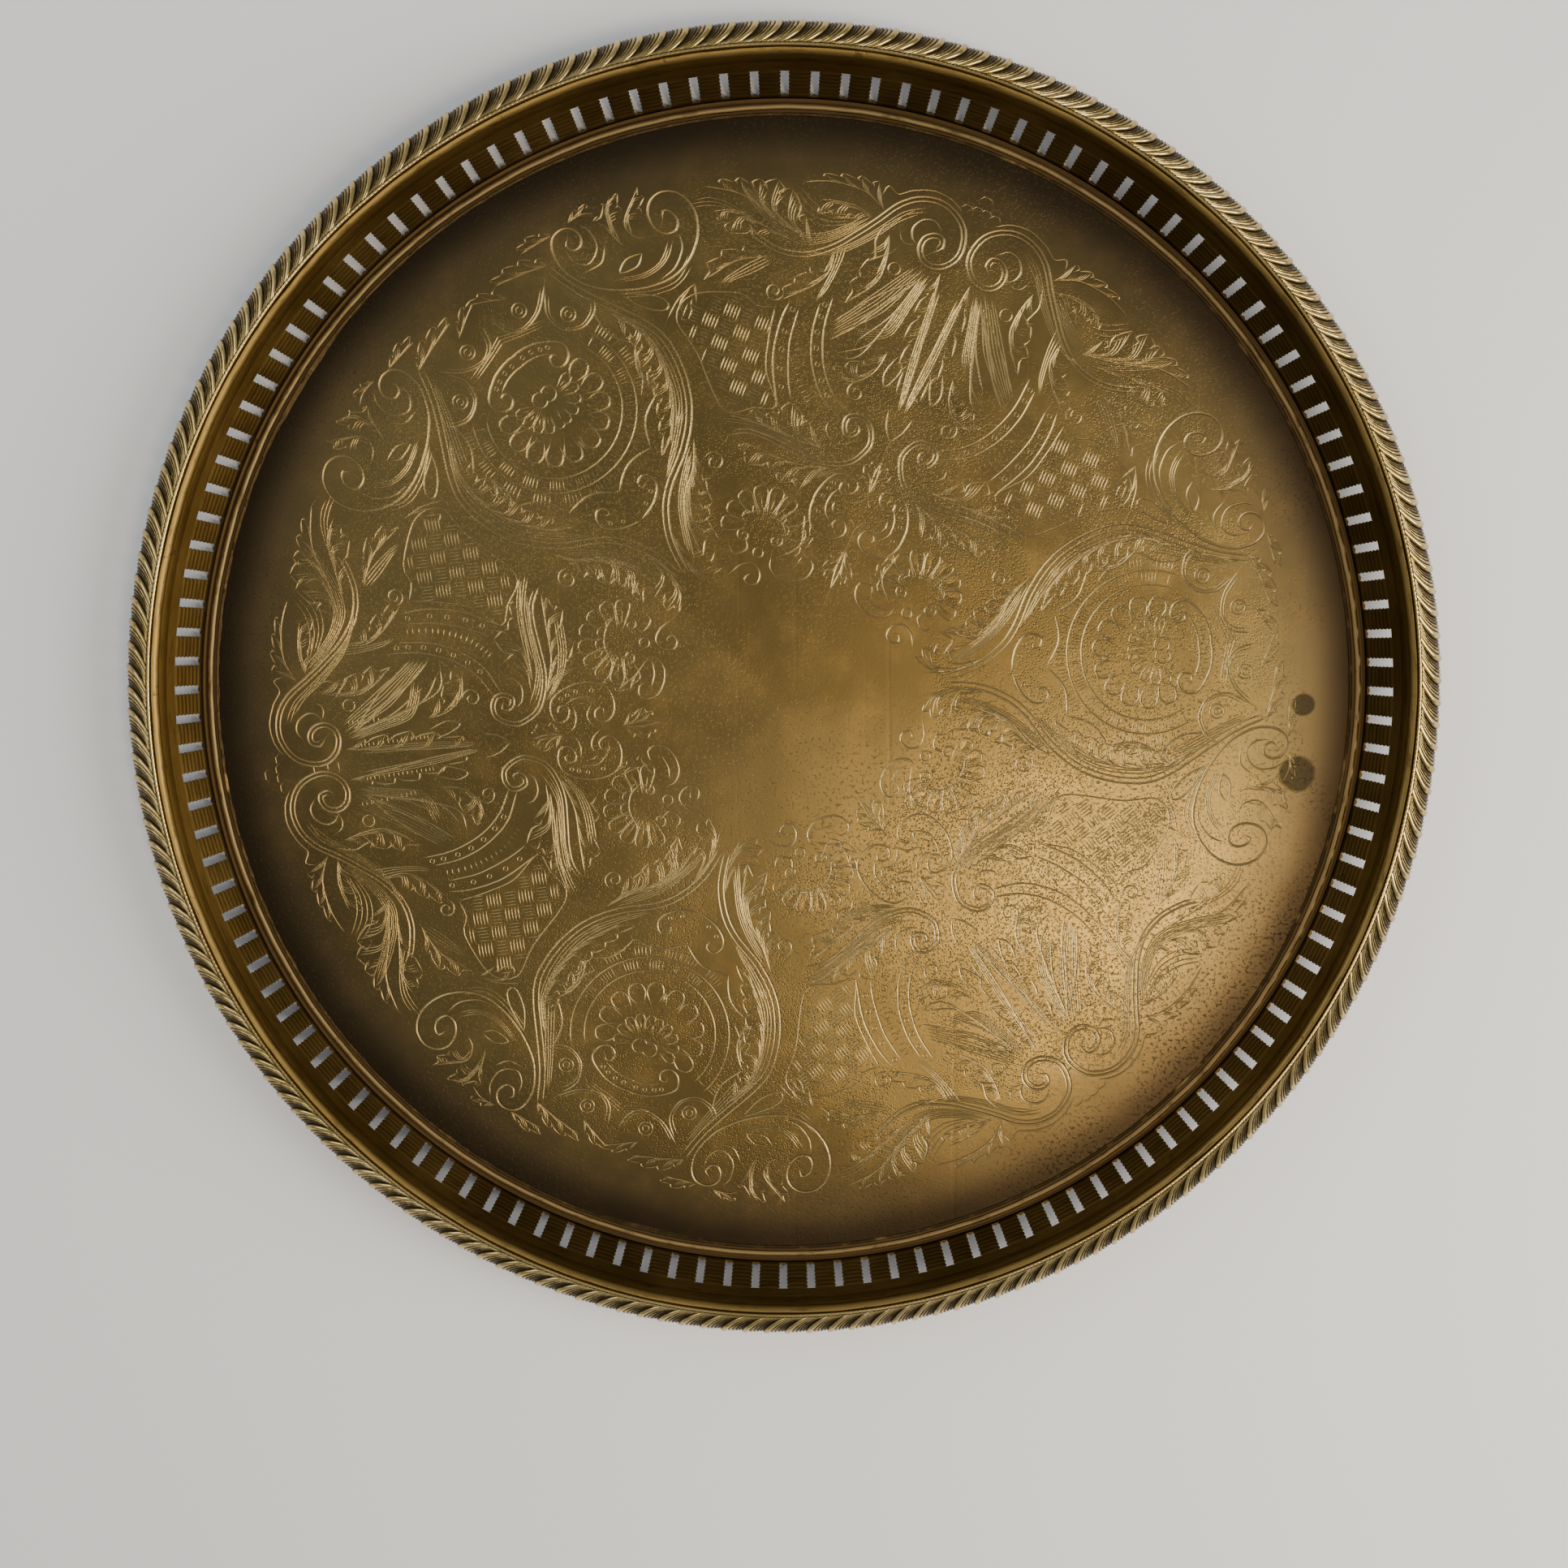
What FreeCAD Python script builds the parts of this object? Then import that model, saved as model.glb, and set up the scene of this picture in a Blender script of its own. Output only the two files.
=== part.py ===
import FreeCAD, Part
import os
import Sketcher

# Round brass tray: an engraved floor sheet inside a pierced gallery wall that flares
# outward and carries a moulded, gadrooned border.  The floor is cut from sheet, every
# other piece is a strip or wire bent into a hoop, and all of them are soldered together.
# Millimetres, +Z up, origin at the centre of the underside.

doc = FreeCAD.newDocument("GalleryTray")

# ---------------------------------------------------------------- driving dimensions
# Heights that start with "floor_to" are measured from the top of the floor sheet.
DIMENSIONS = {
    "floor_sheet": 1.2,             # thickness of the engraved floor
    "floor_radius": 185.6,
    "strip": 0.9,                   # thickness of the gallery and collar strips
    "solder_gap": 0.02,             # film between two soldered faces
    "moulding_foot_out": 0.15,      # moulding's foot, out from the collar's sag
    "moulding_foot_rise": 0.4,      # where its lower side turns up
    "moulding_head_in": 0.3,        # its top, in from the collar's lip
    "moulding_nose_rise": 0.2,      # its rounded back, above the top of its seat
    "moulding_nose_drop": 0.7,      # its nose, below the top of its seat
    "moulding_nose_out": 0.5,       # its nose, out from the collar's sag
    "backing_drop": 1.1,            # how far the bed of solder falls outward
    "crest_thin_out": 0.6,          # part of the sheet lost outward at the crest
    "crest_thin_down": 0.8,         # part of the sheet lost downward at the crest
    "flange_inner_radius": 179.8,   # the gallery's foot, turned inward on the floor
    "flange_thickness": 0.5,
    "bead_radius": 182.0,           # half-round wire on the foot flange
    "bead_half_width": 0.85,
    "bead_rise": 0.75,
    "solder_reach": 0.8,            # run of solder along the flange's edge
    "slot_count": 130,
    "slot_width": 2.5,
    "slot_phase": 4.09,             # degrees from +X to the middle of a slot
    "floor_to_slot_foot": 1.9,
    "floor_to_slot_top": 12.7,
    "slot_foot_radius": 184.6,      # inner face of the wall at the slot's foot
    "slot_top_radius": 188.7,       # and at its top
    "floor_to_wall_top": 16.2,
    "lap_height": 2.6,              # the collar overlaps the wall's outer face by this
    "floor_to_collar_top": 23.0,
    "collar_top_radius": 192.5,
    "collar_sag_radius": 190.8,     # the collar's hollow face, half way up
    "floor_to_collar_sag": 19.4,
    "moulding_low": 20.0,           # half-round moulding on the collar, above the floor
    "moulding_high": 22.7,
    "moulding_proud": 1.3,
    "rope_wire": 0.5,               # radius of the fine twisted wire
    "floor_to_rope": 23.6,
    "rope_radius": 192.9,
    "border_inner_radius": 193.5,
    "floor_to_border_inner": 23.8,
    "border_crest_radius": 197.6,
    "floor_to_border_crest": 22.2,
    "border_outer_radius": 203.0,
    "floor_to_border_outer": 13.3,
    "border_sheet": 0.8,
    "backing_reach": 3.0,           # solder that beds the border on the collar
}

sheet = doc.addObject("Spreadsheet::Sheet", "Dims")
for row, (alias, value) in enumerate(DIMENSIONS.items(), start=1):
    sheet.set(f"A{row}", alias)
    sheet.set(f"B{row}", str(value))
    sheet.setAlias(f"B{row}", alias)
doc.recompute()


def value_of(expression):
    """The present value of an expression on the sheet, in millimetres or degrees."""
    result = sheet.evalExpression(expression)
    return float(getattr(result, "Value", result))


def above_floor(alias):
    return f"Dims.floor_sheet + Dims.{alias}"


# ---------------------------------------------------------------- shared construction
def new_body(label):
    body = doc.addObject("PartDesign::Body", label.title().replace("_", ""))
    body.Label = label
    return body


def origin_plane(body, role):
    return next(item for item in body.Origin.OriginFeatures if item.Role == role)


def new_sketch(body, name, role):
    sketch = body.newObject("Sketcher::SketchObject", name)
    sketch.AttachmentSupport = [(origin_plane(body, role), "")]
    sketch.MapMode = "FlatFace"
    return sketch


def pin_point(sketch, geometry, corner, across, along):
    """Hold one point of a sketch at two expressions: its radius and its height."""
    for kind, expression in (("DistanceX", across), ("DistanceY", along)):
        index = sketch.addConstraint(
            Sketcher.Constraint(kind, -1, 1, geometry, corner, value_of(expression)))
        sketch.setExpression(f"Constraints[{index}]", expression)


def draw_profile(sketch, corners):
    """Closed outline through (radius, height) expressions.

    A corner may carry a third entry, a (radius, height) pair of expressions that the side
    leaving it passes through: that side is then an arc, otherwise it is straight.
    """
    points = [FreeCAD.Vector(value_of(c[0]), value_of(c[1]), 0) for c in corners]
    for index, corner in enumerate(corners):
        following = corners[(index + 1) % len(corners)]
        start = points[index]
        end = points[(index + 1) % len(corners)]
        if len(corner) == 2:
            edge = sketch.addGeometry(Part.LineSegment(start, end), False)
            pin_point(sketch, edge, 1, *corner[:2])
            pin_point(sketch, edge, 2, *following[:2])
            continue
        middle = FreeCAD.Vector(value_of(corner[2][0]), value_of(corner[2][1]), 0)
        anticlockwise = (middle - start).cross(end - middle).z > 0
        if anticlockwise:
            edge = sketch.addGeometry(Part.Arc(start, middle, end), False)
        else:
            edge = sketch.addGeometry(Part.Arc(end, middle, start), False)
        pin_point(sketch, edge, 1 if anticlockwise else 2, *corner[:2])
        pin_point(sketch, edge, 2 if anticlockwise else 1, *following[:2])
        waypoint = sketch.addGeometry(Part.Point(middle), True)
        pin_point(sketch, waypoint, 1, *corner[2])
        sketch.addConstraint(Sketcher.Constraint("PointOnObject", waypoint, 1, edge))


def turned_ring(label, corners):
    """A body made by turning an outline of (radius, height) corners about Z."""
    body = new_body(label)
    outline = new_sketch(body, f"{label}_outline", "XZ_Plane")
    draw_profile(outline, corners)
    ring = body.newObject("PartDesign::Revolution", f"{label}_turned")
    ring.Profile = outline
    ring.ReferenceAxis = (outline, ["V_Axis"])
    ring.Angle = 360
    body.Tip = ring
    doc.recompute()
    return body


# ---------------------------------------------------------------- floor
def make_base_plate():
    """Engraved floor: one flat disc of sheet, which the tray also stands on."""
    body = new_body("base_plate")
    outline = new_sketch(body, "floor_outline", "XY_Plane")
    circle = outline.addGeometry(
        Part.Circle(FreeCAD.Vector(), FreeCAD.Vector(0, 0, 1), value_of("Dims.floor_radius")))
    outline.addConstraint(Sketcher.Constraint("Coincident", circle, 3, -1, 1))
    index = outline.addConstraint(
        Sketcher.Constraint("Radius", circle, value_of("Dims.floor_radius")))
    outline.setExpression(f"Constraints[{index}]", "Dims.floor_radius")
    pad = body.newObject("PartDesign::Pad", "floor_disc")
    pad.Profile = outline
    pad.setExpression("Length", "Dims.floor_sheet")
    body.Tip = pad
    doc.recompute()
    return body


# ---------------------------------------------------------------- gallery
# The wall is straight in section, so its inner face follows from the two ends of a slot.
FLARE = ("(Dims.slot_top_radius - Dims.slot_foot_radius)"
         " / (Dims.floor_to_slot_top - Dims.floor_to_slot_foot)")


def wall_radius(height, outward="0"):
    """Radius of the wall's inner face at a height above the floor, plus an offset."""
    return f"Dims.slot_foot_radius + ({height} - Dims.floor_to_slot_foot) * {FLARE} + {outward}"


def slot_blocks():
    """One block for each slot, standing across the wall and turned about Z."""
    width = value_of("Dims.slot_width")
    height = value_of("Dims.floor_to_slot_top - Dims.floor_to_slot_foot")
    inner = value_of("Dims.slot_foot_radius - 2 * Dims.strip")
    depth = value_of("Dims.slot_top_radius + 2 * Dims.strip") - inner
    corner = FreeCAD.Vector(inner, -width / 2, value_of(above_floor("floor_to_slot_foot")))
    count = int(value_of("Dims.slot_count"))
    phase = value_of("Dims.slot_phase")
    blocks = []
    for place in range(count):
        block = Part.makeBox(depth, width, height, corner)
        block.rotate(FreeCAD.Vector(), FreeCAD.Vector(0, 0, 1), phase + 360 * place / count)
        blocks.append(block)
    return blocks


def make_gallery_band():
    """Pierced wall: a strip bent into a hoop, its foot turned in on the floor, with a
    row of upright slots."""
    foot = "Dims.floor_sheet + Dims.solder_gap"
    flange_top = "Dims.floor_sheet + Dims.flange_thickness"
    wall_top = above_floor("floor_to_wall_top")
    hoop = turned_ring("gallery_hoop", [
        ("Dims.flange_inner_radius", foot),
        (wall_radius("0", "Dims.strip"), foot),
        (wall_radius("Dims.floor_to_wall_top", "Dims.strip"), wall_top),
        (wall_radius("Dims.floor_to_wall_top"), wall_top),
        (wall_radius("Dims.flange_thickness"), flange_top),
        ("Dims.flange_inner_radius", flange_top),
    ])
    slots = doc.addObject("Part::Feature", "SlotCutters")
    slots.Shape = Part.makeCompound(slot_blocks())
    band = doc.addObject("Part::Cut", "GalleryBand")
    band.Label = "gallery_band"
    band.Base = hoop
    band.Tool = slots
    doc.recompute()
    if band.Shape.Volume >= hoop.Shape.Volume:
        raise RuntimeError("the slots don't cut the wall")
    return band


def make_foot_bead():
    """Low half-round wire laid on the foot flange, just inside the wall."""
    seat = "Dims.floor_sheet + Dims.flange_thickness + Dims.solder_gap"
    shoulder = f"{seat} + Dims.bead_rise / 3"
    crown = f"{seat} + Dims.bead_rise"
    inner = "Dims.bead_radius - Dims.bead_half_width"
    outer = "Dims.bead_radius + Dims.bead_half_width"
    return turned_ring("foot_bead", [
        (inner, seat),
        (outer, seat),
        (outer, shoulder),
        ("Dims.bead_radius + Dims.bead_half_width / 2", crown),
        ("Dims.bead_radius - Dims.bead_half_width / 2", crown),
        (inner, shoulder),
    ])


def make_foot_solder():
    """Run of solder that closes the flange's inner edge on the floor."""
    inner = "Dims.flange_inner_radius - Dims.solder_reach"
    outer = "Dims.flange_inner_radius - Dims.solder_gap"
    foot = "Dims.floor_sheet + Dims.solder_gap"
    return turned_ring("foot_solder", [
        (inner, foot),
        (outer, foot),
        (outer, "Dims.floor_sheet + Dims.flange_thickness"),
    ])


# ---------------------------------------------------------------- collar and mouldings
def make_collar_band():
    """Plain trumpet-mouthed strip above the slots: its skirt laps the wall from outside, its
    face stands flush with the wall's inner face, and its lip carries the border."""
    gap = "Dims.strip + Dims.solder_gap"
    skirt = "Dims.floor_to_wall_top - Dims.lap_height"
    seam = "Dims.floor_to_wall_top + Dims.solder_gap"
    sag = above_floor("floor_to_collar_sag")
    lip = above_floor("floor_to_collar_top")
    return turned_ring("collar_band", [
        (wall_radius(seam), f"Dims.floor_sheet + {seam}"),
        (wall_radius(seam, gap), f"Dims.floor_sheet + {seam}"),
        (wall_radius(skirt, gap), f"Dims.floor_sheet + {skirt}"),
        (wall_radius(skirt, f"{gap} + Dims.strip"), f"Dims.floor_sheet + {skirt}"),
        (wall_radius(seam, f"{gap} + Dims.strip"), f"Dims.floor_sheet + {seam}"),
        ("Dims.collar_top_radius + Dims.strip", lip),
        ("Dims.collar_top_radius", lip, ("Dims.collar_sag_radius", sag)),
    ])


def make_bead_moulding():
    """Half-round moulding soldered round the top of the collar's face."""
    low = above_floor("moulding_low")
    high = above_floor("moulding_high")
    return turned_ring("bead_moulding", [
        ("Dims.collar_sag_radius + Dims.moulding_foot_out", low),
        ("Dims.collar_top_radius - Dims.moulding_head_in", high),
        ("Dims.collar_top_radius - Dims.moulding_head_in - Dims.moulding_proud / 2",
         f"{high} + Dims.moulding_nose_rise"),
        ("Dims.collar_sag_radius + Dims.moulding_nose_out - Dims.moulding_proud",
         f"{high} - Dims.moulding_nose_drop"),
        ("Dims.collar_sag_radius + Dims.moulding_foot_out - Dims.moulding_proud / 2",
         f"{low} + Dims.moulding_foot_rise"),
    ])


def make_rope_wire():
    """Fine twisted wire that covers the joint between the moulding and the border."""
    wire = doc.addObject("Part::Torus", "RopeWire")
    wire.Label = "rope_wire"
    wire.setExpression("Radius1", "Dims.rope_radius")
    wire.setExpression("Radius2", "Dims.rope_wire")
    wire.setExpression("Placement.Base.z", above_floor("floor_to_rope"))
    doc.recompute()
    return wire


# ---------------------------------------------------------------- border
def make_gadroon_border():
    """Stamped border: a domed shell that falls outward from the collar's lip."""
    inner = above_floor("floor_to_border_inner")
    crest = above_floor("floor_to_border_crest")
    outer = above_floor("floor_to_border_outer")
    return turned_ring("gadroon_border", [
        ("Dims.border_inner_radius", inner,
         ("Dims.border_crest_radius", crest)),
        ("Dims.border_outer_radius", outer),
        ("Dims.border_outer_radius - Dims.border_sheet", outer,
         ("Dims.border_crest_radius - Dims.crest_thin_out * Dims.border_sheet",
          f"{crest} - Dims.crest_thin_down * Dims.border_sheet")),
        ("Dims.border_inner_radius", f"{inner} - Dims.border_sheet"),
    ])


def make_border_backing():
    """Bed of solder between the border's hollow back and the collar's lip."""
    inner = "Dims.collar_top_radius + Dims.strip + Dims.solder_gap"
    top = "Dims.floor_sheet + Dims.floor_to_border_inner - Dims.border_sheet"
    return turned_ring("border_backing", [
        (inner, f"{top} - Dims.backing_reach"),
        (inner, f"{top} - Dims.solder_gap"),
        (f"{inner} + Dims.backing_reach", f"{top} - Dims.backing_drop"),
    ])


pieces = [
    make_base_plate(),
    make_foot_solder(),
    make_foot_bead(),
    make_gallery_band(),
    make_collar_band(),
    make_bead_moulding(),
    make_rope_wire(),
    make_border_backing(),
    make_gadroon_border(),
]

doc.recompute()
for item in doc.Objects:
    if "Invalid" in item.State or "Error" in item.State:
        raise RuntimeError(f"{item.Label} failed: {item.State}")

os.makedirs("parts", exist_ok=True)
for piece in pieces:
    shape = piece.Shape
    if shape.isNull() or not shape.isValid() or len(shape.Solids) != 1:
        raise RuntimeError(f"{piece.Label} isn't one sound solid")
    shape.exportStep(os.path.join("parts", f"{piece.Label}.step"))
    box = shape.optimalBoundingBox(False)
    print(f"{piece.Label:16s} {shape.Volume:10.0f} mm3  r {box.XMax:6.2f}  "
          f"z {box.ZMin:5.2f} to {box.ZMax:5.2f}")
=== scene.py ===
# %% [markdown]
# # A brass gallery tray
# The tray is a flat engraved floor inside a pierced wall, with a moulded collar and a
# gadrooned border on top.  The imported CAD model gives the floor's radius and top, the top
# of the wall, and the border's outer edge and heights.  The other ring sizes are constants
# named below.  This script makes the ornament that the plain solids leave out.
# Everything is in metres, in the tray's own frame: Z up, origin under the middle.

# %% Load the frame
import math

import bmesh
import bpy
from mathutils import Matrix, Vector, kdtree
from mathutils.geometry import delaunay_2d_cdt


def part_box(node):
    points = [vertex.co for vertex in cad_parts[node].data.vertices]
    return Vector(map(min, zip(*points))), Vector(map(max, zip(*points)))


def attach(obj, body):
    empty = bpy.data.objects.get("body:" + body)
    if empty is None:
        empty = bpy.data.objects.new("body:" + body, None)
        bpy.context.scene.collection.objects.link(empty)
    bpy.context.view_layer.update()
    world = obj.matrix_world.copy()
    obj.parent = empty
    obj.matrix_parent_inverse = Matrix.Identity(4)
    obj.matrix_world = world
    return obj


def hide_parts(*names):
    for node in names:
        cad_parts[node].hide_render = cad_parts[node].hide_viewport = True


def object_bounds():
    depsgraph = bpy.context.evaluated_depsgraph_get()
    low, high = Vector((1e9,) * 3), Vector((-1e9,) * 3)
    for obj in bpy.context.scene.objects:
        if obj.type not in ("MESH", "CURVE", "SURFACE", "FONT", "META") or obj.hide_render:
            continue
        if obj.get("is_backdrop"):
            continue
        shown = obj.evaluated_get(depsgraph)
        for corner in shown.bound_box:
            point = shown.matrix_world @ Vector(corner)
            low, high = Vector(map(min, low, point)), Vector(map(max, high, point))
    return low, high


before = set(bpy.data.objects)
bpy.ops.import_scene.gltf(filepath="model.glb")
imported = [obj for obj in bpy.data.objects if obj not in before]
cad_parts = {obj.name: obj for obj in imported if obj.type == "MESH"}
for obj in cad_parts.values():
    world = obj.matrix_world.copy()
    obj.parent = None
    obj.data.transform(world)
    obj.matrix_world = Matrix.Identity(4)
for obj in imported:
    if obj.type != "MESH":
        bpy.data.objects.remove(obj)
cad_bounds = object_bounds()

MM = 0.001
TURN = 2 * math.pi


def reach(node):
    """Outer radius, lowest and highest point of a CAD ring, in millimetres."""
    low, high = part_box(node)
    return high.x / MM, low.z / MM, high.z / MM


floor_radius, _, floor_top = reach("base_plate")
_, _, wall_top = reach("gallery_band")
border_outer, border_low, border_top = reach("gadroon_border")
print(f"floor r {floor_radius:.1f} top {floor_top:.1f}, wall top {wall_top:.1f}, "
      f"border r {border_outer:.1f} from {border_low:.1f} to {border_top:.1f} mm")

# %% [markdown]
# ## Two helpers for meshes
# Every ring of the tray is a section turned about Z.  `mesh_piece` makes an object from
# points in millimetres, and `hoop` turns a closed section of (radius, height) points.

# %% Mesh helpers


def finish_mesh(mesh, sharp_degrees):
    """Turn the faces outward, and shade smooth but crisp above the angle."""
    shell = bmesh.new()
    shell.from_mesh(mesh)
    bmesh.ops.delete(shell, geom=[v for v in shell.verts if not v.link_faces], context="VERTS")
    bmesh.ops.recalc_face_normals(shell, faces=shell.faces)
    shell.to_mesh(mesh)
    shell.free()
    mesh.shade_smooth()
    mesh.set_sharp_from_angle(angle=math.radians(sharp_degrees))


def mesh_piece(name, points, faces, material, sharp_degrees=40):
    """An object at the origin from points in millimetres."""
    mesh = bpy.data.meshes.new(name)
    mesh.from_pydata([(x * MM, y * MM, z * MM) for x, y, z in points], [], faces)
    mesh.validate()
    finish_mesh(mesh, sharp_degrees)
    mesh.materials.append(material)
    piece = bpy.data.objects.new(name, mesh)
    bpy.context.scene.collection.objects.link(piece)
    return piece


def hoop(name, section, material, steps=720, wobble=None, sharp_degrees=40):
    """Turn a closed section of (radius, height) points about Z.

    wobble(angle, index, radius, height) may move a section point at each angle.
    """
    count = len(section)
    points = []
    for step in range(steps):
        angle = TURN * step / steps
        for index, (radius, height) in enumerate(section):
            if wobble:
                radius, height = wobble(angle, index, radius, height)
            points.append((radius * math.cos(angle), radius * math.sin(angle), height))
    faces = []
    for step in range(steps):
        here = step * count
        ahead = (step + 1) % steps * count
        for index in range(count):
            after = (index + 1) % count
            faces.append((here + index, here + after, ahead + after, ahead + index))
    return mesh_piece(name, points, faces, material, sharp_degrees)


def arc_points(start, middle, end, count):
    """Points along the circular arc through three (radius, height) points."""
    (ax, ay), (bx, by), (cx, cy) = start, middle, end
    d = 2 * (ax * (by - cy) + bx * (cy - ay) + cx * (ay - by))
    a2, b2, c2 = ax * ax + ay * ay, bx * bx + by * by, cx * cx + cy * cy
    ux = (a2 * (by - cy) + b2 * (cy - ay) + c2 * (ay - by)) / d
    uy = (a2 * (cx - bx) + b2 * (ax - cx) + c2 * (bx - ax)) / d
    radius = math.hypot(ax - ux, ay - uy)
    first = math.atan2(ay - uy, ax - ux)
    to_middle = (math.atan2(by - uy, bx - ux) - first) % TURN
    sweep = (math.atan2(cy - uy, cx - ux) - first) % TURN
    if to_middle > sweep:
        sweep -= TURN
    return [(ux + radius * math.cos(first + sweep * i / (count - 1)),
             uy + radius * math.sin(first + sweep * i / (count - 1))) for i in range(count)]


def ring_piece(piece, node):
    """Tie a finished piece to the tray's one body, and hide the CAD node it replaces."""
    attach(piece, "root")
    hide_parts(node)
    print(f"{piece.name}: {len(piece.data.polygons)} faces")


# %% [markdown]
# ## Writing finishes as sums
# A finish is a network of nodes, and a long network is easier to read as arithmetic.  A
# `Wire` stands for one socket: adding or multiplying two of them adds a Math node, so a
# mask can be written `1 - worn * 0.4`.  Every other node comes from `Finish.node`.

# %% The Wire and Finish classes


class Wire:
    """A number in a finish that can be used in ordinary sums."""

    def __init__(self, finish, socket):
        self.finish = finish
        self.socket = socket

    def maths(self, operation, *others, clamp=False):
        return self.finish.node("ShaderNodeMath", {"operation": operation, "use_clamp": clamp},
                                dict(enumerate(others)))

    def __add__(self, other):
        return self.maths("ADD", self, other)

    def __sub__(self, other):
        return self.maths("SUBTRACT", self, other)

    def __rsub__(self, other):
        return self.maths("SUBTRACT", other, self)

    def __mul__(self, other):
        return self.maths("MULTIPLY", self, other)

    def __pow__(self, other):
        return self.maths("POWER", self, other)

    __radd__ = __add__
    __rmul__ = __mul__

    def held(self):
        """The same number, kept between 0 and 1."""
        return self.maths("ADD", self, 0.0, clamp=True)

    def rise(self, low, high):
        """0 below low, 1 above high and a smooth step between."""
        return self.finish.node("ShaderNodeMapRange", {"interpolation_type": "SMOOTHSTEP"},
                                {"Value": self, "From Min": low, "From Max": high})


class Finish:
    """One material, and one way to add any node to it."""

    def __init__(self, name):
        self.material = bpy.data.materials.new(name)
        self.material.use_nodes = True
        self.tree = self.material.node_tree
        self.shader = self.tree.nodes["Principled BSDF"]

    def plug(self, socket, value):
        if isinstance(value, Wire):
            self.tree.links.new(value.socket, socket)
        else:
            socket.default_value = value

    def node(self, kind, settings=None, inputs=None, output=0):
        made = self.tree.nodes.new(kind)
        for name, value in (settings or {}).items():
            setattr(made, name, value)
        for name, value in (inputs or {}).items():
            self.plug(made.inputs[name], value)
        return Wire(self, made.outputs[output])

    def place(self, stretch=(1, 1, 1), turn=0.0):
        """Position on the tray, in metres, optionally stretched and turned."""
        spot = self.node("ShaderNodeTexCoord", output="Object")
        return self.node("ShaderNodeMapping", None,
                         {"Vector": spot, "Scale": stretch, "Rotation": (0, 0, turn)})

    def part(self, axis):
        """One coordinate of the position: X, Y or Z."""
        return self.node("ShaderNodeSeparateXYZ", None, {"Vector": self.place()}, output=axis)

    def from_middle(self):
        """Distance from the tray's axis."""
        x, y = self.part("X"), self.part("Y")
        return (x * x + y * y) ** 0.5

    def noise(self, scale, detail=3.0, roughness=0.55, stretch=(1, 1, 1), turn=0.0):
        return self.node("ShaderNodeTexNoise", None,
                         {"Vector": self.place(stretch, turn), "Scale": scale,
                          "Detail": detail, "Roughness": roughness}, output=0)

    def attribute(self, name):
        return self.node("ShaderNodeAttribute", {"attribute_name": name}, output="Fac")

    def mix(self, factor, first, second):
        """A colour between two, each a Wire or (red, green, blue)."""
        def as_colour(value):
            return value if isinstance(value, Wire) else (*value, 1.0)
        made = self.tree.nodes.new("ShaderNodeMix")
        made.data_type = "RGBA"
        self.plug(made.inputs[0], factor)
        self.plug(made.inputs[6], as_colour(first))
        self.plug(made.inputs[7], as_colour(second))
        return Wire(self, made.outputs[2])

    def bump(self, height, millimetres, under=None):
        inputs = {"Height": height, "Distance": millimetres * MM, "Strength": 1.0}
        if under:
            inputs["Normal"] = under
        return self.node("ShaderNodeBump", None, inputs)

    def set(self, **sockets):
        for name, value in sockets.items():
            self.plug(self.shader.inputs[name.replace("_", " ")], value)
        return self.material


# %% [markdown]
# ## Four finishes
# The tray is one metal, aged in four ways.  The floor is toned olive brown, speckled with
# pits and dark at its edge, and its cuts are painted brighter, a painted highlight for the
# light their walls catch.  The wall is darker, with a painted highlight towards its top and on
# the foot bead's crest, and painted shade at its foot.
# The border has been rubbed bright on its high places and is nearly black in its hollows.
# The solder is dull and lumpy.  Each finish reads the position on the tray, so it stays
# put when the piece turns, and the carved pieces also carry a number that says how deep a
# point is.

# %% Floor brass


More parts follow.
